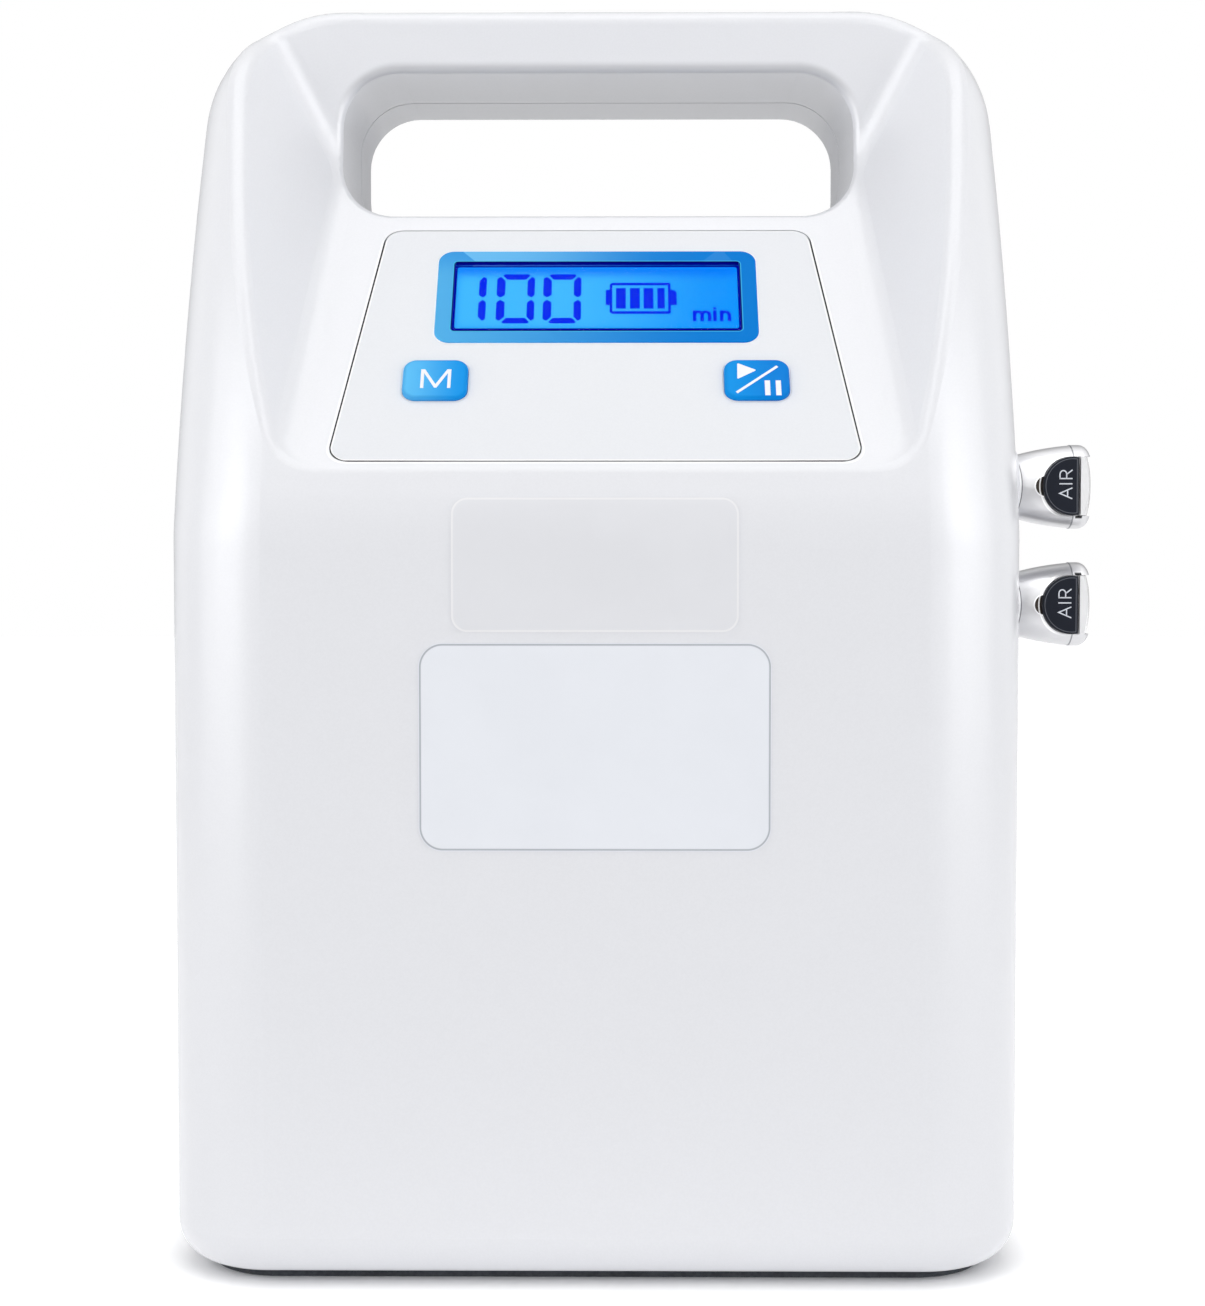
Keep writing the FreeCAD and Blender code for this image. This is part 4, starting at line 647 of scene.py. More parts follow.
class DressPanel(Operator):
    """Finishes the control panel plate, the blue display frame, its clear window and the white lips, whose
    white is a painted highlight
    """
    bl_idname = "pump.dress_panel"
    bl_label = "Control panel"

    # The frame's head, the slant that its sheen ends on, and the wedge at its right.
    HEAD_FOOT, HEAD_SOFT = 9.0, 0.5
    SLANT_ACROSS, SLANT_UP, SLANT_END, SLANT_SOFT = 0.742, 0.67, 17.2, 0.15
    WEDGE_RISE, WEDGE_SIDES = 52.5, ((-0.96, 20.8, 20.95), (0.66, 26.65, 26.5))

    def frame_blue(self, look, border_shade):
        """The display frame's blue, lighter at its left and deeper at its right as painted light, with
        painted sheens, a painted highlight round its opening and painted shade in deep blue on its opening's
        walls.
        """
        blue = Finish("bezel_blue", look.blue, 0.3)
        across, up, out = blue.parts(blue.panel_place())
        above = blue.less(up, DISPLAY_RISE)
        # Painted light: lighter blue at the frame's left, deeper at its right.
        blue.feed(blue.blend(blue.spread(across, -52, 26), shaded(look.lit_blue, 0.9),
                             shaded(look.shaded_blue, 0.93)),
                  blue.shader.inputs["Base Color"])
        # A painted sheen along the frame's head, cut off on a slant, and painted shade in a darker patch left
        # of it.
        head = blue.spread(above, self.HEAD_FOOT, self.HEAD_FOOT + self.HEAD_SOFT)
        slope = blue.maths("ADD", blue.times(across, self.SLANT_ACROSS), blue.times(up, self.SLANT_UP))
        slant_start = self.SLANT_END + self.SLANT_SOFT
        bar = blue.times(blue.spread(slope, self.SLANT_END, slant_start), head)
        blue.paint(blue.times(bar, blue.spread(across, -24, 12, 0.75, 0.0)), look.sheen)
        left = blue.spread(slope, slant_start, self.SLANT_END)
        blue.paint(blue.times(left, blue.spread(above, 5, 12, 0.0, 0.4)), look.shaded_blue)
        # A faint painted sheen, wedge-shaped, at the head's right.
        wedge = blue.times(head, 0.12)
        for lean, outside, inside in self.WEDGE_SIDES:
            slope = blue.maths("ADD", across, blue.times(blue.less(up, self.WEDGE_RISE), lean))
            wedge = blue.times(wedge, blue.spread(slope, outside, inside))
        blue.paint(wedge, look.sheen)
        blue.polish(0.5 * MM, 0.28, 0.32, 0.0005)
        blue.set("Specular IOR Level", 0.03)

        # A painted highlight round the opening, and painted shade in deep blue on its walls.
        depth = blue.inset(across, above, VIEW_WIDTH, VIEW_HEIGHT, VIEW_CORNER)
        blue.paint(blue.line(depth, -0.32, 0.16, 0.08), tint(72, 196, 240))
        walls = blue.spread(depth, -0.26, -0.18)
        inner = blue.blend(blue.spread(out, -0.3, 0.3), shaded(border_shade, 1.1), shaded(border_shade, 0.45))
        blue.paint(walls, inner)
        return blue

    def execute(self, context):
        look = context.scene.pump_panel
        border_shade = context.scene.pump_display.border_shade
        plate = Finish("panel_white", look.plate, 0.36)
        grain = plate.polish(0.4 * MM, 0.34, 0.39, 0.0004)
        plate.stain(grain, shaded(look.plate, 0.985))
        seam = context.scene.pump_housing.seam
        plate.draw_seam(*plate.parts(plate.panel_place()), seam, PLATE_HIGHLIGHT)
        dress(plate, "control_panel")
        dress(self.frame_blue(look, border_shade), "display_bezel")

        window = Finish("window_clear", (0.97, 0.98, 1.0), 0.02)
        window.set("Transmission Weight", 1.0)
        window.set("IOR", 1.05)
        window.roughen(window.noise(5 * MM), 0.0, 0.02)
        dress(window, "display_window")

        lip_highlight = moulded("lip_highlight_white", look.lip_highlight, 0.3, 0.5, depth=0.002)
        rim = lip("display_lip", FRAME_WIDTH, FRAME_HEIGHT, FRAME_CORNER, 0.0, LIP_WIDTH,
                  (0, DISPLAY_RISE), 0, LIP_HEIGHT)
        piece("display_lip", rim, PANEL_PLACE, "housing", lip_highlight)
        for name, side in (("mode", -KEY_SIDE), ("start_pause", KEY_SIDE)):
            rim = lip(f"{name}_key_lip", KEY_WIDTH, KEY_HEIGHT, KEY_CORNER, 0.05, KEY_GAP - 0.01,
                      (side, KEY_RISE), -0.6, 0.03)
            piece(f"{name}_key_lip", rim, PANEL_PLACE, "housing", lip_highlight)
        return {"FINISHED"}


class DressDisplay(Operator):
    """Lights the display, and sets its number, battery sign and unit"""
    bl_idname = "pump.dress_display"
    bl_label = "Display"

    GROUND_FOOT, GROUND_HEAD, GROUND_WIDTH, GROUND_CORNER = 35.4, 52.3, 55.0, 0.5
    INK_LOW, INK_HIGH = GLASS_FACE + 0.01, GLASS_FACE + 0.05
    DIGIT_LEFT, DIGIT_FOOT = (-28.85, -19.4, -10.3), 36.7
    STROKES = {
        "a": [(0.95, 13.2), (1.3, 13.6), (5.94, 13.6), (6.29, 13.2), (5.46, 12.1), (1.78, 12.1)],
        "b": [(5.78, 11.75), (6.62, 12.9), (7.24, 12.35), (7.24, 7.85), (6.6, 7.12), (5.78, 7.85)],
        "c": [(5.78, 5.75), (6.6, 6.48), (7.24, 5.75), (7.24, 1.25), (6.62, 0.7), (5.78, 1.85)],
        "d": [(1.78, 1.5), (5.46, 1.5), (6.29, 0.4), (5.94, 0), (1.3, 0), (0.95, 0.4)],
        "e": [(-0.2, 5.75), (0.54, 6.48), (1.46, 5.75), (1.46, 1.85), (0.52, 0.7), (-0.2, 1.25)],
        "f": [(-0.2, 12.35), (0.52, 12.9), (1.46, 11.75), (1.46, 7.85), (0.54, 7.12), (-0.2, 7.85)],
        "g": [(0.85, 6.8), (1.6, 7.5), (5.64, 7.5), (6.39, 6.8), (5.64, 6.1), (1.6, 6.1)],
    }
    SEGMENTS = {"0": "abcdef", "1": "bc", "2": "abged", "3": "abgcd", "4": "fgbc", "5": "afgcd",
                "6": "afgedc", "7": "abc", "8": "abcdefg", "9": "abcdfg", " ": ""}

    def number(self, minutes):
        """Strokes of the number's digits."""
        return [moved(self.STROKES[key], left, self.DIGIT_FOOT)
                for digit, left in zip(minutes.rjust(3), self.DIGIT_LEFT) for key in self.SEGMENTS[digit]]

    def battery(self, bars):
        """Outline, end caps and bars of the battery sign."""
        left, right, low, high, side, edge, cut = 2.5, 14.4, 39.3, 47.9, 0.52, 0.7, 0.5
        case = [(left + cut, high), (right - cut / 2, high), (right, high - cut / 2), (right, low + cut / 2),
                (right - cut / 2, low), (left + cut, low), (left, low + cut), (left, high - cut)]
        inner = slab(left + side, right - side, low + edge, high - edge)
        top = [case[7], case[0], case[1], case[2], inner[2], inner[3]]
        bottom = [case[3], case[4], case[5], case[6], inner[0], inner[1]]
        outlines = [top, bottom, [case[6], case[7], inner[3], inner[0]],
                    [case[2], case[3], inner[1], inner[2]]]
        outlines.append(slab(1.72, left, 41.7, 45.9))
        outlines.append([(right, 41.7), (15.57, 41.7), (15.57, 45.3), (14.9, 45.9), (right, 45.9)])
        places = ((3.73, 5.64), (6.46, 8.37), (9.11, 11.02), (11.8, 13.23))
        return outlines + [slab(near, far, 40.75, 46.4) for near, far in places[:bars]]

    def unit(self):
        """The letters of the unit, in upright strokes and arches."""
        foot, height, pen = 37.25, 2.95, 0.7
        stems = (18.96, 22.9, 24.2)
        outlines = [slab(x - pen / 2, x + pen / 2, foot, foot + height) for x in stems]
        for near, far in ((18.96, 20.42), (20.42, 21.88), (24.2, 25.7)):
            bow = arc((near + far) / 2, foot + height * 0.6, (far - near) / 2, height * 0.4 - pen / 2, 180, 0)
            outlines.append(pen_path([*bow, (far, foot)], pen))
        outlines.append(slab(22.9 - pen / 2, 22.9 + pen / 2, foot + 3.3, foot + 3.82))
        return outlines

    def execute(self, context):
        look = context.scene.pump_display
        glass = Finish("lcd_blue", look.glow, 0.4)
        across, up, _ = glass.parts(glass.panel_place())
        glass.feed(glass.blend(glass.spread(across, -8, 27), look.glow, look.glow_right),
                   glass.shader.inputs["Base Color"])
        above = glass.less(up, (self.GROUND_FOOT + self.GROUND_HEAD) / 2)
        depth = glass.inset(across, above, self.GROUND_WIDTH, self.GROUND_HEAD - self.GROUND_FOOT,
                            self.GROUND_CORNER)
        # Painted shade from the frame: the ground is deeper along its head and round its rim, and ends in a
        # dark edge, which is also the display's own dark mask.
        glass.paint(glass.spread(glass.less(self.GROUND_HEAD, up), 0.2, 4.2, 0.85, 0.0), look.glow_head_shade)
        glass.paint(glass.spread(depth, 0, 1.4, 0.55, 0.0), look.glow_right)
        glass.stain(glass.noise(0.5 * MM, detail=1.0), shaded(look.glow_right, 0.8), most=0.05)
        glass.paint(glass.spread(depth, 0.08, -0.08), look.border_shade)
        glass.glow(look.glow_strength)
        dress(glass, "lcd_glass")

        ink = Finish("lcd_ink", look.ink, 0.4)
        ink.stain(ink.noise(0.5 * MM, detail=1.0), shaded(look.ink, 0.8), most=0.6)
        ink.glow(look.glow_strength)
        for name, outlines in (("display_digits", self.number(look.minutes)),
                               ("display_battery", self.battery(look.bars)), ("display_unit", self.unit())):
            strokes = thickened(name, outlines, self.INK_LOW, self.INK_HIGH)
            piece(name, strokes, PANEL_PLACE, "housing", ink)

        back = Finish("backlight_white", tint(236, 244, 250), 0.5)
        dots = back.noise(0.8 * MM, detail=0.0)
        back.stain(dots, tint(206, 224, 240))
        back.ripple(dots, 0.02 * MM, 0.5)
        dress(back, "lcd_backlight")
        return {"FINISHED"}


class DressKeys(Operator):
    """Finishes the two key caps and prints their white signs"""
    bl_idname = "pump.dress_keys"
    bl_label = "Keys"

    LETTER = [(-2.85, 0), (-2.85, 4.85), (-2.1, 4.85), (0, 1.0), (2.1, 4.85), (2.85, 4.85), (2.85, 0),
              (2.23, 0), (2.23, 3.85), (0.22, 0.1), (-0.22, 0.1), (-2.23, 3.85), (-2.23, 0)]
    GO = [(26.6, 20.0), (26.8, 19.9), (30.1, 21.98), (30.1, 22.2), (26.9, 23.85), (26.7, 23.75)]
    LETTER_PLACE = -30.16, 17.5
    SLASH, SLASH_PEN = [(26.4, 16.3), (34.25, 23.1)], 0.54
    PAUSE = [slab(31.72, 32.72, 15.6, 19.4), slab(33.78, 34.76, 15.6, 19.4)]

    def execute(self, context):
        look = context.scene.pump_panel
        cap = Finish("key_blue", look.blue, 0.3)
        across, up, _ = cap.parts(cap.panel_place())
        # Painted light: each key's blue is lighter at its left and deepens to its right, and painted shade
        # deepens it at its rim.
        start = cap.spread(across, -1, 1)
        along = cap.less(across, cap.spread(across, -1, 1, -KEY_SIDE, KEY_SIDE))
        left = cap.blend(start, look.lit_blue, look.blue)
        right = cap.blend(start, look.blue, look.shaded_blue)
        cap.feed(cap.blend(cap.spread(along, -7, 6), left, right), cap.shader.inputs["Base Color"])
        depth = cap.inset(along, cap.less(up, KEY_RISE), KEY_WIDTH, KEY_HEIGHT, KEY_CORNER)
        cap.paint(cap.spread(depth, 0.1, 0.9, 0.35, 0.0), shaded(look.shaded_blue, 0.8))
        cap.polish(0.5 * MM, 0.28, 0.32, 0.0005)
        cap.set("Specular IOR Level", 0.05)
        dress(cap, "mode_button", "start_pause_button")

        sign = moulded("sign_white", look.sign, 0.4, 0.5, depth=0.002)
        low, high = KEY_FACE, KEY_FACE + look.sign_thick / MM
        mode = thickened("mode_sign", [moved(self.LETTER, *self.LETTER_PLACE)], low, high)
        piece("mode_sign", mode, PANEL_PLACE, "mode_key", sign)
        marks = [self.GO, pen_path(self.SLASH, self.SLASH_PEN), *self.PAUSE]
        piece("start_pause_sign", thickened("start_pause_sign", marks, low, high), PANEL_PLACE,
              "start_pause_key", sign)
        return {"FINISHED"}


class DressCouplers(Operator):
    """Finishes the two air couplers and prints the word on their latches"""
    bl_idname = "pump.dress_couplers"
    bl_label = "Air couplers"

    WORD_PLACE, WORD_FOOT, WORD_HEIGHT, WORD_THICK = 90.75, -2.55, 2.5, 0.04
    LATCH_LINE, LATCH_LINE_WIDTH = 0.42, 0.13
    PLATE_LINE = PLATE_END - 0.55

    def port_place(self, finish):
        """Places in millimetres, with the height measured from the nearer coupler's axis."""
        along, back, height = finish.parts(finish.scaled_place())
        upper, lower = COUPLERS["upper"], COUPLERS["lower"]
        off = finish.maths("ABSOLUTE", finish.less(height, (upper + lower) / 2))
        return along, back, finish.less(off, (upper - lower) / 2)

    def word(self, pen):
        """The word AIR in thin strokes, along x and upright in y."""
        high = self.WORD_HEIGHT
        foot, head, bar = pen / 2, high - pen / 2, high * 0.36
        letter_a = [pen_path([(0.1, 0), (1.14, high - 0.1), (2.18, 0)], pen),
                    slab(0.62, 1.66, bar - foot, bar + foot)]
        letter_i = [slab(2.95 - foot, 2.95 + foot, 0, high)]
        bow = [(3.95, head), *arc(4.75, (head + 1.1) / 2, 0.72, (head - 1.1) / 2, 90, -90), (3.95, 1.1)]
        letter_r = [slab(3.95 - foot, 3.95 + foot, 0, high), pen_path(bow, pen),
                    pen_path([(4.75, 1.1), (5.6, 0)], pen)]
        return letter_a + letter_i + letter_r

    def silver(self, look):
        """Satin plating, with the joint lines drawn where they lie, and painted highlights and shade at the
        notch, beside the latch, at the slot and over the collar's end.
        """
        silver = plated("coupler_silver", look.silver, 0.3)
        along, back, height = self.port_place(silver)
        silver.paint(silver.line(along, COLLAR_START, 0.22, 0.08), tint(150, 152, 156))
        # Painted shade darkens the collar over its rounded end.
        silver.paint(silver.spread(along, COLLAR_ROUND, COLLAR_ROUND + 1, 0.0, 0.6), tint(150, 152, 157))
        # The white root by the housing, behind a bowed line.
        root = silver.maths("ADD", along, silver.times(height, height, 0.024))
        silver.paint(silver.spread(root, ROOT_END + 0.06, ROOT_END - 0.06), (1, 1, 1))
        silver.paint(silver.line(root, ROOT_END, 0.17, 0.07), tint(104, 104, 108))
        # The notch, with a painted highlight on its rim and painted shade on its floor.
        out = silver.reach(silver.less(along, NOTCH_PLACE), height)
        ahead = silver.spread(back, NOTCH_FLOOR + 0.2, NOTCH_FLOOR - 0.2)
        silver.paint(silver.times(ahead, silver.line(out, NOTCH_REACH + 0.12, 0.24)), tint(246, 246, 248))
        floor = silver.spread(out, NOTCH_REACH + 0.02, NOTCH_REACH - 0.06)
        silver.paint(silver.times(floor, silver.line(back, NOTCH_FLOOR, 0.9)), tint(66, 60, 56))
        # A painted highlight on the rim beside the latch, and painted shade in a slot at its corner.
        facing = silver.spread(back, FACING_SIDE, FACING_SIDE - 0.5)
        rim = silver.line(silver.reach(silver.less(along, LATCH_PLACE), height), LATCH_REACH + 0.5, 0.24)
        silver.paint(silver.times(rim, facing, silver.spread(along, 91, 90)), tint(250, 250, 250))
        slot = silver.times(silver.line(along, SLOT_PLACE, SLOT_LENGTH, 0.1),
                            silver.line(height, SLOT_RISE, SLOT_HEIGHT, 0.1))
        silver.paint(silver.times(slot, facing), tint(20, 20, 22))
        return silver

    def latch_black(self, look):
        """The latch's black, with a thin line inside its edge."""
        black = moulded("latch_black", look.latch, 0.36, 0.5, depth=0.004)
        along, _, height = self.port_place(black)
        out = black.reach(black.less(along, LATCH_PLACE), height)
        width = self.LATCH_LINE_WIDTH
        line = black.maths("MAXIMUM", black.line(out, LATCH_REACH - self.LATCH_LINE, width, 0.05),
                           black.line(along, LATCH_END - self.LATCH_LINE, width, 0.05))
        inside = black.times(black.spread(out, LATCH_REACH - 0.34, LATCH_REACH - 0.38),
                             black.spread(along, LATCH_END - 0.34, LATCH_END - 0.38))
        black.paint(black.times(line, inside), tint(104, 107, 114))
        black.set("Specular IOR Level", 0.2)
        return black

    def spring(self, name, finish):
        """The latch's return spring."""
        node = f"{name}_latch_spring"
        low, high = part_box(node)
        seat = Vector(((low.x + high.x) / 2, high.y, (low.z + high.z) / 2))
        radius, height = (high.x - low.x) / 2 / MM - SPRING_WIRE, (high.y - low.y) / MM
        shape = coil(f"{name}_latch_coil", radius, SPRING_WIRE, SPRING_TURNS, height)
        place = Matrix.Translation(seat) @ Matrix.Rotation(math.radians(90), 4, "X")
        made = piece(f"{name}_latch_coil", shape, place, "housing", finish)
        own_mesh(made)
        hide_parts(node)

    def execute(self, context):
        look = context.scene.pump_coupler
        silver = self.silver(look)
        # The latch plate: white that stands for the light on its metal, greyer past a line near its end, with
        # a dark line along that line.
        bright = moulded("latch_plate_highlight", look.bright, 0.22, 0.4, depth=0.001)
        along, _, _ = bright.parts(bright.scaled_place())
        bright.paint(bright.spread(along, self.PLATE_LINE, self.PLATE_LINE + 0.1), tint(222, 223, 226))
        bright.paint(bright.line(along, self.PLATE_LINE, 0.14, 0.06), tint(112, 113, 118))
        black = self.latch_black(look)
        seal = rubber("seal_rubber", tint(38, 36, 35))
        zinc = machined("nut_zinc", tint(188, 190, 192), 0.38, "X")
        print_grey = moulded("word_grey", look.word_colour, 0.5, 0.5, depth=0.002)
        turned = Matrix.Rotation(math.radians(90), 4, "X") @ Matrix.Rotation(math.radians(90), 4, "Z")
        for name, height in COUPLERS.items():
            dress(silver, f"{name}_coupler_body", f"{name}_coupler_collar")
            dress(bright, f"{name}_latch_plate")
            dress(black, f"{name}_latch_button")
            dress(seal, f"{name}_coupler_seal")
            dress(zinc, f"{name}_coupler_nut")
            self.spring(name, zinc)
            word = thickened(f"{name}_latch_word", self.word(look.word_pen / MM), 0, self.WORD_THICK)
            corner = Vector((self.WORD_PLACE, LATCH_FACE, height + self.WORD_FOOT)) * MM
            piece(f"{name}_latch_word", word, Matrix.Translation(corner) @ turned, f"{name}_latch",
                  print_grey)
        return {"FINISHED"}


class DressPump(Operator):
    """Finishes the diaphragm pump, its valves and its hoses"""
    bl_idname = "pump.dress_pump"
    bl_label = "Pump and valves"

    def execute(self, context):
        dress(machined("motor_steel", tint(150, 153, 158), 0.36, "X"), "pump_motor")
        dress(machined("shaft_steel", tint(190, 192, 196), 0.2, "X"), "pump_shaft")
        dress(machined("bracket_zinc", tint(168, 172, 174), 0.42, "X", line=0.5), "pump_bracket")
        dress(machined("crank_brass", tint(196, 164, 96), 0.3, "X"), "pump_eccentric")
        dress(moulded("pump_black", tint(36, 38, 41), 0.42, 0.9, depth=0.02), "pump_crankcase",
              "pump_head", "pump_rocker")
        dress(rubber("diaphragm_rubber", tint(46, 44, 43)), "pump_diaphragm", "pump_mounts")
        dress(moulded("manifold_white", tint(222, 222, 218), 0.45, 1.0, depth=0.015), "valve_manifold")
        dress(moulded("coil_black", tint(30, 31, 34), 0.38, 0.7, depth=0.012), "upper_valve_coil",
              "lower_valve_coil")
        dress(machined("plunger_steel", tint(184, 186, 190), 0.24, "Z"), "upper_valve_plunger",
              "lower_valve_plunger")
        hose = moulded("hose_silicone", tint(206, 210, 212), 0.42, 1.4, depth=0.01)
        hose.set("Subsurface Weight", 0.25)
        hose.set("Subsurface Scale", 0.002)
        dress(hose, "upper_air_hose", "lower_air_hose", "pump_hose")
        return {"FINISHED"}


class DressElectronics(Operator):
    """Finishes the boards, switches, ribbon cable and charging inlet"""
    bl_idname = "pump.dress_electronics"
    bl_label = "Electronics"

    def board(self, name, node, place):
        """A green board with tracks."""
        green = Finish(name, tint(22, 92, 58), 0.34)
        tracks = green.add("ShaderNodeTexBrick", offset=0.37, squash=1.6)
        green.feed(place(green), tracks.inputs["Vector"])
        for socket, value in (("Scale", 0.22), ("Mortar Size", 0.018), ("Brick Width", 0.9),
                              ("Row Height", 0.28)):
            tracks.inputs[socket].default_value = value
        green.stain(tracks.outputs["Fac"], tint(58, 140, 92), 0.2, 0.8)
        green.roughen(green.noise(0.8 * MM), 0.28, 0.42)
        green.ripple(tracks.outputs["Fac"], 0.03 * MM, 0.5)
        dress(green, node)

    @staticmethod
    def upright_place(finish):
        """Places on an upright board, in millimetres."""
        return finish.scaled_place(math.radians(-90))

    def execute(self, context):
        self.board("main_board_green", "main_board", self.upright_place)
        self.board("panel_board_green", "panel_board", Finish.panel_place)
        dress(moulded("component_black", tint(28, 29, 32), 0.4, 0.4, depth=0.02), "board_components")
        dress(moulded("switch_black", tint(24, 25, 27), 0.36, 0.5, depth=0.01), "mode_switch",
              "start_pause_switch", "power_inlet")
        dress(moulded("plunger_grey", tint(70, 72, 76), 0.4, 0.4, depth=0.01), "mode_switch_plunger",
              "start_pause_switch_plunger")
        ribbon = Finish("ribbon_grey", tint(150, 152, 156), 0.5)
        across, _, _ = ribbon.parts(ribbon.place)
        wave = ribbon.maths("SINE", ribbon.times(across, 2 * math.pi / (1.27 * MM)))
        ribbon.stain(wave, tint(112, 114, 120), -0.4, 0.8)
        ribbon.ripple(wave, 0.12 * MM, 0.8)
        dress(ribbon, "ribbon_cable")
        return {"FINISHED"}


class DressBattery(Operator):
    """Finishes the battery cells, their cradle and the chassis"""
    bl_idname = "pump.dress_battery"
    bl_label = "Battery and chassis"

    def execute(self, context):
        wrap = Finish("cell_wrap", tint(64, 128, 188), 0.3, coat=0.2)
        _, _, height = wrap.parts(wrap.place)
        off = wrap.maths("ABSOLUTE", wrap.less(height, 44.5 * MM))
        wrap.paint(wrap.spread(off, 31.2 * MM, 31.6 * MM), tint(200, 202, 206))
        creases = wrap.noise(3 * MM, detail=4.0, stretch=(1, 1, 0.3))
        wrap.roughen(creases, 0.24, 0.38)
        wrap.ripple(creases, 0.02 * MM, 0.5)
        dress(wrap, "battery_cells")
        dress(moulded("chassis_grey", tint(120, 124, 130), 0.5, 1.2, depth=0.02), "chassis",
              "battery_cradle")
        return {"FINISHED"}


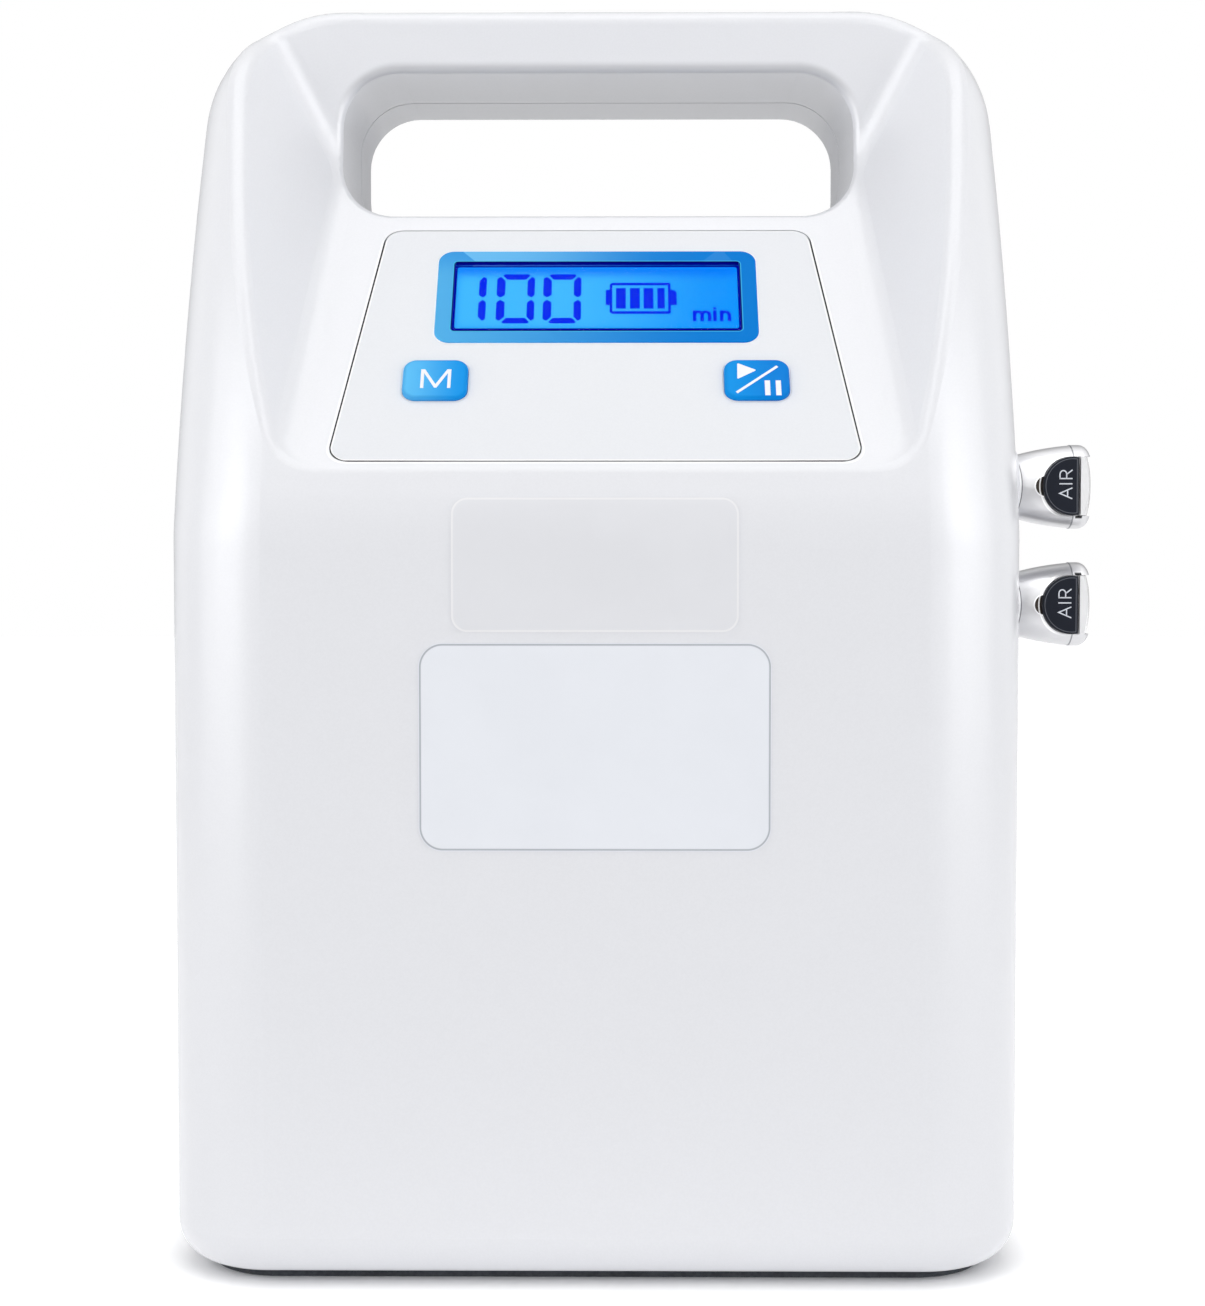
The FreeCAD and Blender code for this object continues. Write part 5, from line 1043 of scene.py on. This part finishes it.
class SetStage(Operator):
    """Sets the pale floor, the soft lamps and the camera"""
    bl_idname = "pump.set_stage"
    bl_label = "Stage"

    # Each lamp's place, the point it is aimed at, and its size.
    TOP_LAMP = (0, -0.2, 1.1), (0, 0, 0.1), (0.9, 0.7)
    SIDE_LAMP = (0.8, -0.55, 0.2), (0, -0.05, 0.12), (0.9, 1.2)

    def floor(self, colour):
        """A floor that looks white to the camera and in reflections, and still takes a shadow."""
        finish = Finish("stage_floor", colour, 0.7)
        light = finish.add("ShaderNodeLightPath")
        across, back, _ = finish.parts(finish.place)
        mirrored = finish.times(light.outputs["Is Glossy Ray"], finish.spread(back, -0.3, -0.08, 0.0, 0.46))
        seen = finish.maths("MAXIMUM", light.outputs["Is Camera Ray"], light.outputs["Is Transmission Ray"])
        # The glow starts clear of the pad, so that the shadow beside it stays.
        low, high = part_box("base_pad")
        depth = finish.inset(across, back, high.x - low.x, high.y - low.y, PAD_CORNER * MM)
        away = finish.times(finish.spread(depth, -1 * MM, -14 * MM),
                            finish.spread(finish.reach(across, back), 0.09, 0.3, 0.42, 0.62))
        glow = finish.add("ShaderNodeEmission", (1, 1, 1, 1),
                          finish.maths("MAXIMUM", mirrored, finish.times(seen, away)))
        finish.stain(finish.noise(14 * MM, detail=3.0), shaded(colour, 0.99))
        both = finish.add("ShaderNodeAddShader", finish.shader.outputs[0], glow.outputs[0])
        finish.feed(both.outputs[0], finish.tree.nodes["Material Output"].inputs["Surface"])
        shape = bmesh.new()
        bmesh.ops.create_grid(shape, x_segments=4, y_segments=4, size=3.0)
        mesh = bpy.data.meshes.new("stage_floor")
        shape.to_mesh(mesh)
        shape.free()
        mesh.materials.append(finish.material)
        made = placed("stage_floor", mesh)

    def world(self, scene, strength):
        """Even light all round; white where the room is seen, and greyer in reflections from the front."""
        scene.world = bpy.data.worlds.new("stage_world")
        scene.world.use_nodes = True
        room = Nodes(scene.world.node_tree)

        def shine(level):
            return room.add("ShaderNodeBackground", (1, 1, 1, 1), level).outputs[0]

        light = room.add("ShaderNodeLightPath").outputs
        across, toward, _ = room.parts(room.add("ShaderNodeTexCoord").outputs["Generated"])
        # Mirrored rays: dim straight ahead of the panel and far behind it, with a bright panel on each side.
        level = room.times(room.spread(toward, -0.99, -0.68, 0.5, 1.35),
                           room.spread(toward, 0.45, 0.95, 1.0, 0.3))
        wings = room.times(room.spread(room.maths("ABSOLUTE", across), 0.2, 0.38, 0.0, 1.8),
                           room.spread(toward, -0.3, -0.6))
        mirrored = shine(room.maths("ADD", level, wings))
        # Even light, and more of it from behind, where no lamp stands.
        soft = shine(room.spread(toward, 0.45, 0.9, strength, strength * 2.4))
        seen = room.maths("MAXIMUM", light["Is Camera Ray"], light["Is Transmission Ray"])
        shiny = room.add("ShaderNodeMixShader", light["Is Glossy Ray"], soft, mirrored)
        both = room.add("ShaderNodeMixShader", seen, shiny.outputs[0], shine(1.0))
        room.feed(both.outputs[0], room.tree.nodes["World Output"].inputs["Surface"])

    def lamp(self, name, place, aim, size, power):
        """A soft rectangular lamp, aimed at a point."""
        light = bpy.data.lights.new(name, "AREA")
        light.shape = "RECTANGLE"
        light.size, light.size_y = size
        light.energy = power
        aimed(name, light, place, Vector(aim) - Vector(place))

    def camera(self, scene, look):
        """The camera, turned and tipped by its two angles."""
        lens = bpy.data.cameras.new("camera")
        lens.sensor_fit = "AUTO"
        lens.sensor_width = SENSOR_WIDTH
        lens.lens = look.focal_length
        yaw, dip = look.camera_yaw, look.camera_dip
        ahead = Vector((-math.sin(yaw) * math.cos(dip), math.cos(yaw) * math.cos(dip), -math.sin(dip)))
        scene.camera = aimed("camera", lens, look.camera_place, ahead)

    def execute(self, context):
        scene = context.scene
        look = scene.pump_stage
        self.floor(look.floor)
        self.world(scene, look.room_light)
        self.lamp("lamp_top", *self.TOP_LAMP, look.top_light)
        (across, back, height), aim, size = self.SIDE_LAMP
        for name, side in (("lamp_left", -1), ("lamp_right", 1)):
            self.lamp(name, (side * across, back, height), aim, size, look.side_light)
        self.camera(scene, look)
        scene.view_settings.view_transform = "Standard"
        return {"FINISHED"}


class PumpPanel(Panel):
    """Lists the pieces of the pump and their settings"""
    bl_idname = "VIEW3D_PT_pump"
    bl_label = "Compression pump"
    bl_space_type = "VIEW_3D"
    bl_region_type = "UI"
    bl_category = "Pump"

    def draw(self, context):
        for settings in SETTINGS:
            box = self.layout.box()
            for field in SETTINGS[settings].__annotations__:
                box.prop(getattr(context.scene, settings), field)
        for operator in OPERATORS:
            self.layout.operator(operator.bl_idname)


SETTINGS = {"pump_housing": HousingSettings, "pump_panel": PanelSettings, "pump_display": DisplaySettings,
            "pump_coupler": CouplerSettings, "pump_stage": StageSettings}
OPERATORS = (DressHousing, DressBase, DressLabels, DressPanel, DressDisplay, DressKeys, DressCouplers,
             DressPump, DressElectronics, DressBattery, SetStage)


def register():
    """Adds the settings, operators and panel."""
    for settings, group in SETTINGS.items():
        bpy.utils.register_class(group)
        setattr(bpy.types.Scene, settings, PointerProperty(type=group))
    for kind in (*OPERATORS, PumpPanel):
        bpy.utils.register_class(kind)


def unregister():
    """Takes them away again."""
    for kind in reversed((*OPERATORS, PumpPanel)):
        bpy.utils.unregister_class(kind)
    for settings, group in SETTINGS.items():
        delattr(bpy.types.Scene, settings)
        bpy.utils.unregister_class(group)


def main():
    """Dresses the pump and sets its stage."""
    register()
    bpy.ops.pump.dress_housing()
    bpy.ops.pump.dress_base()
    bpy.ops.pump.dress_labels()
    bpy.ops.pump.dress_panel()
    bpy.ops.pump.dress_display()
    bpy.ops.pump.dress_keys()
    bpy.ops.pump.dress_couplers()
    bpy.ops.pump.dress_pump()
    bpy.ops.pump.dress_electronics()
    bpy.ops.pump.dress_battery()
    bpy.ops.pump.set_stage()


if __name__ == "__main__":
    main()
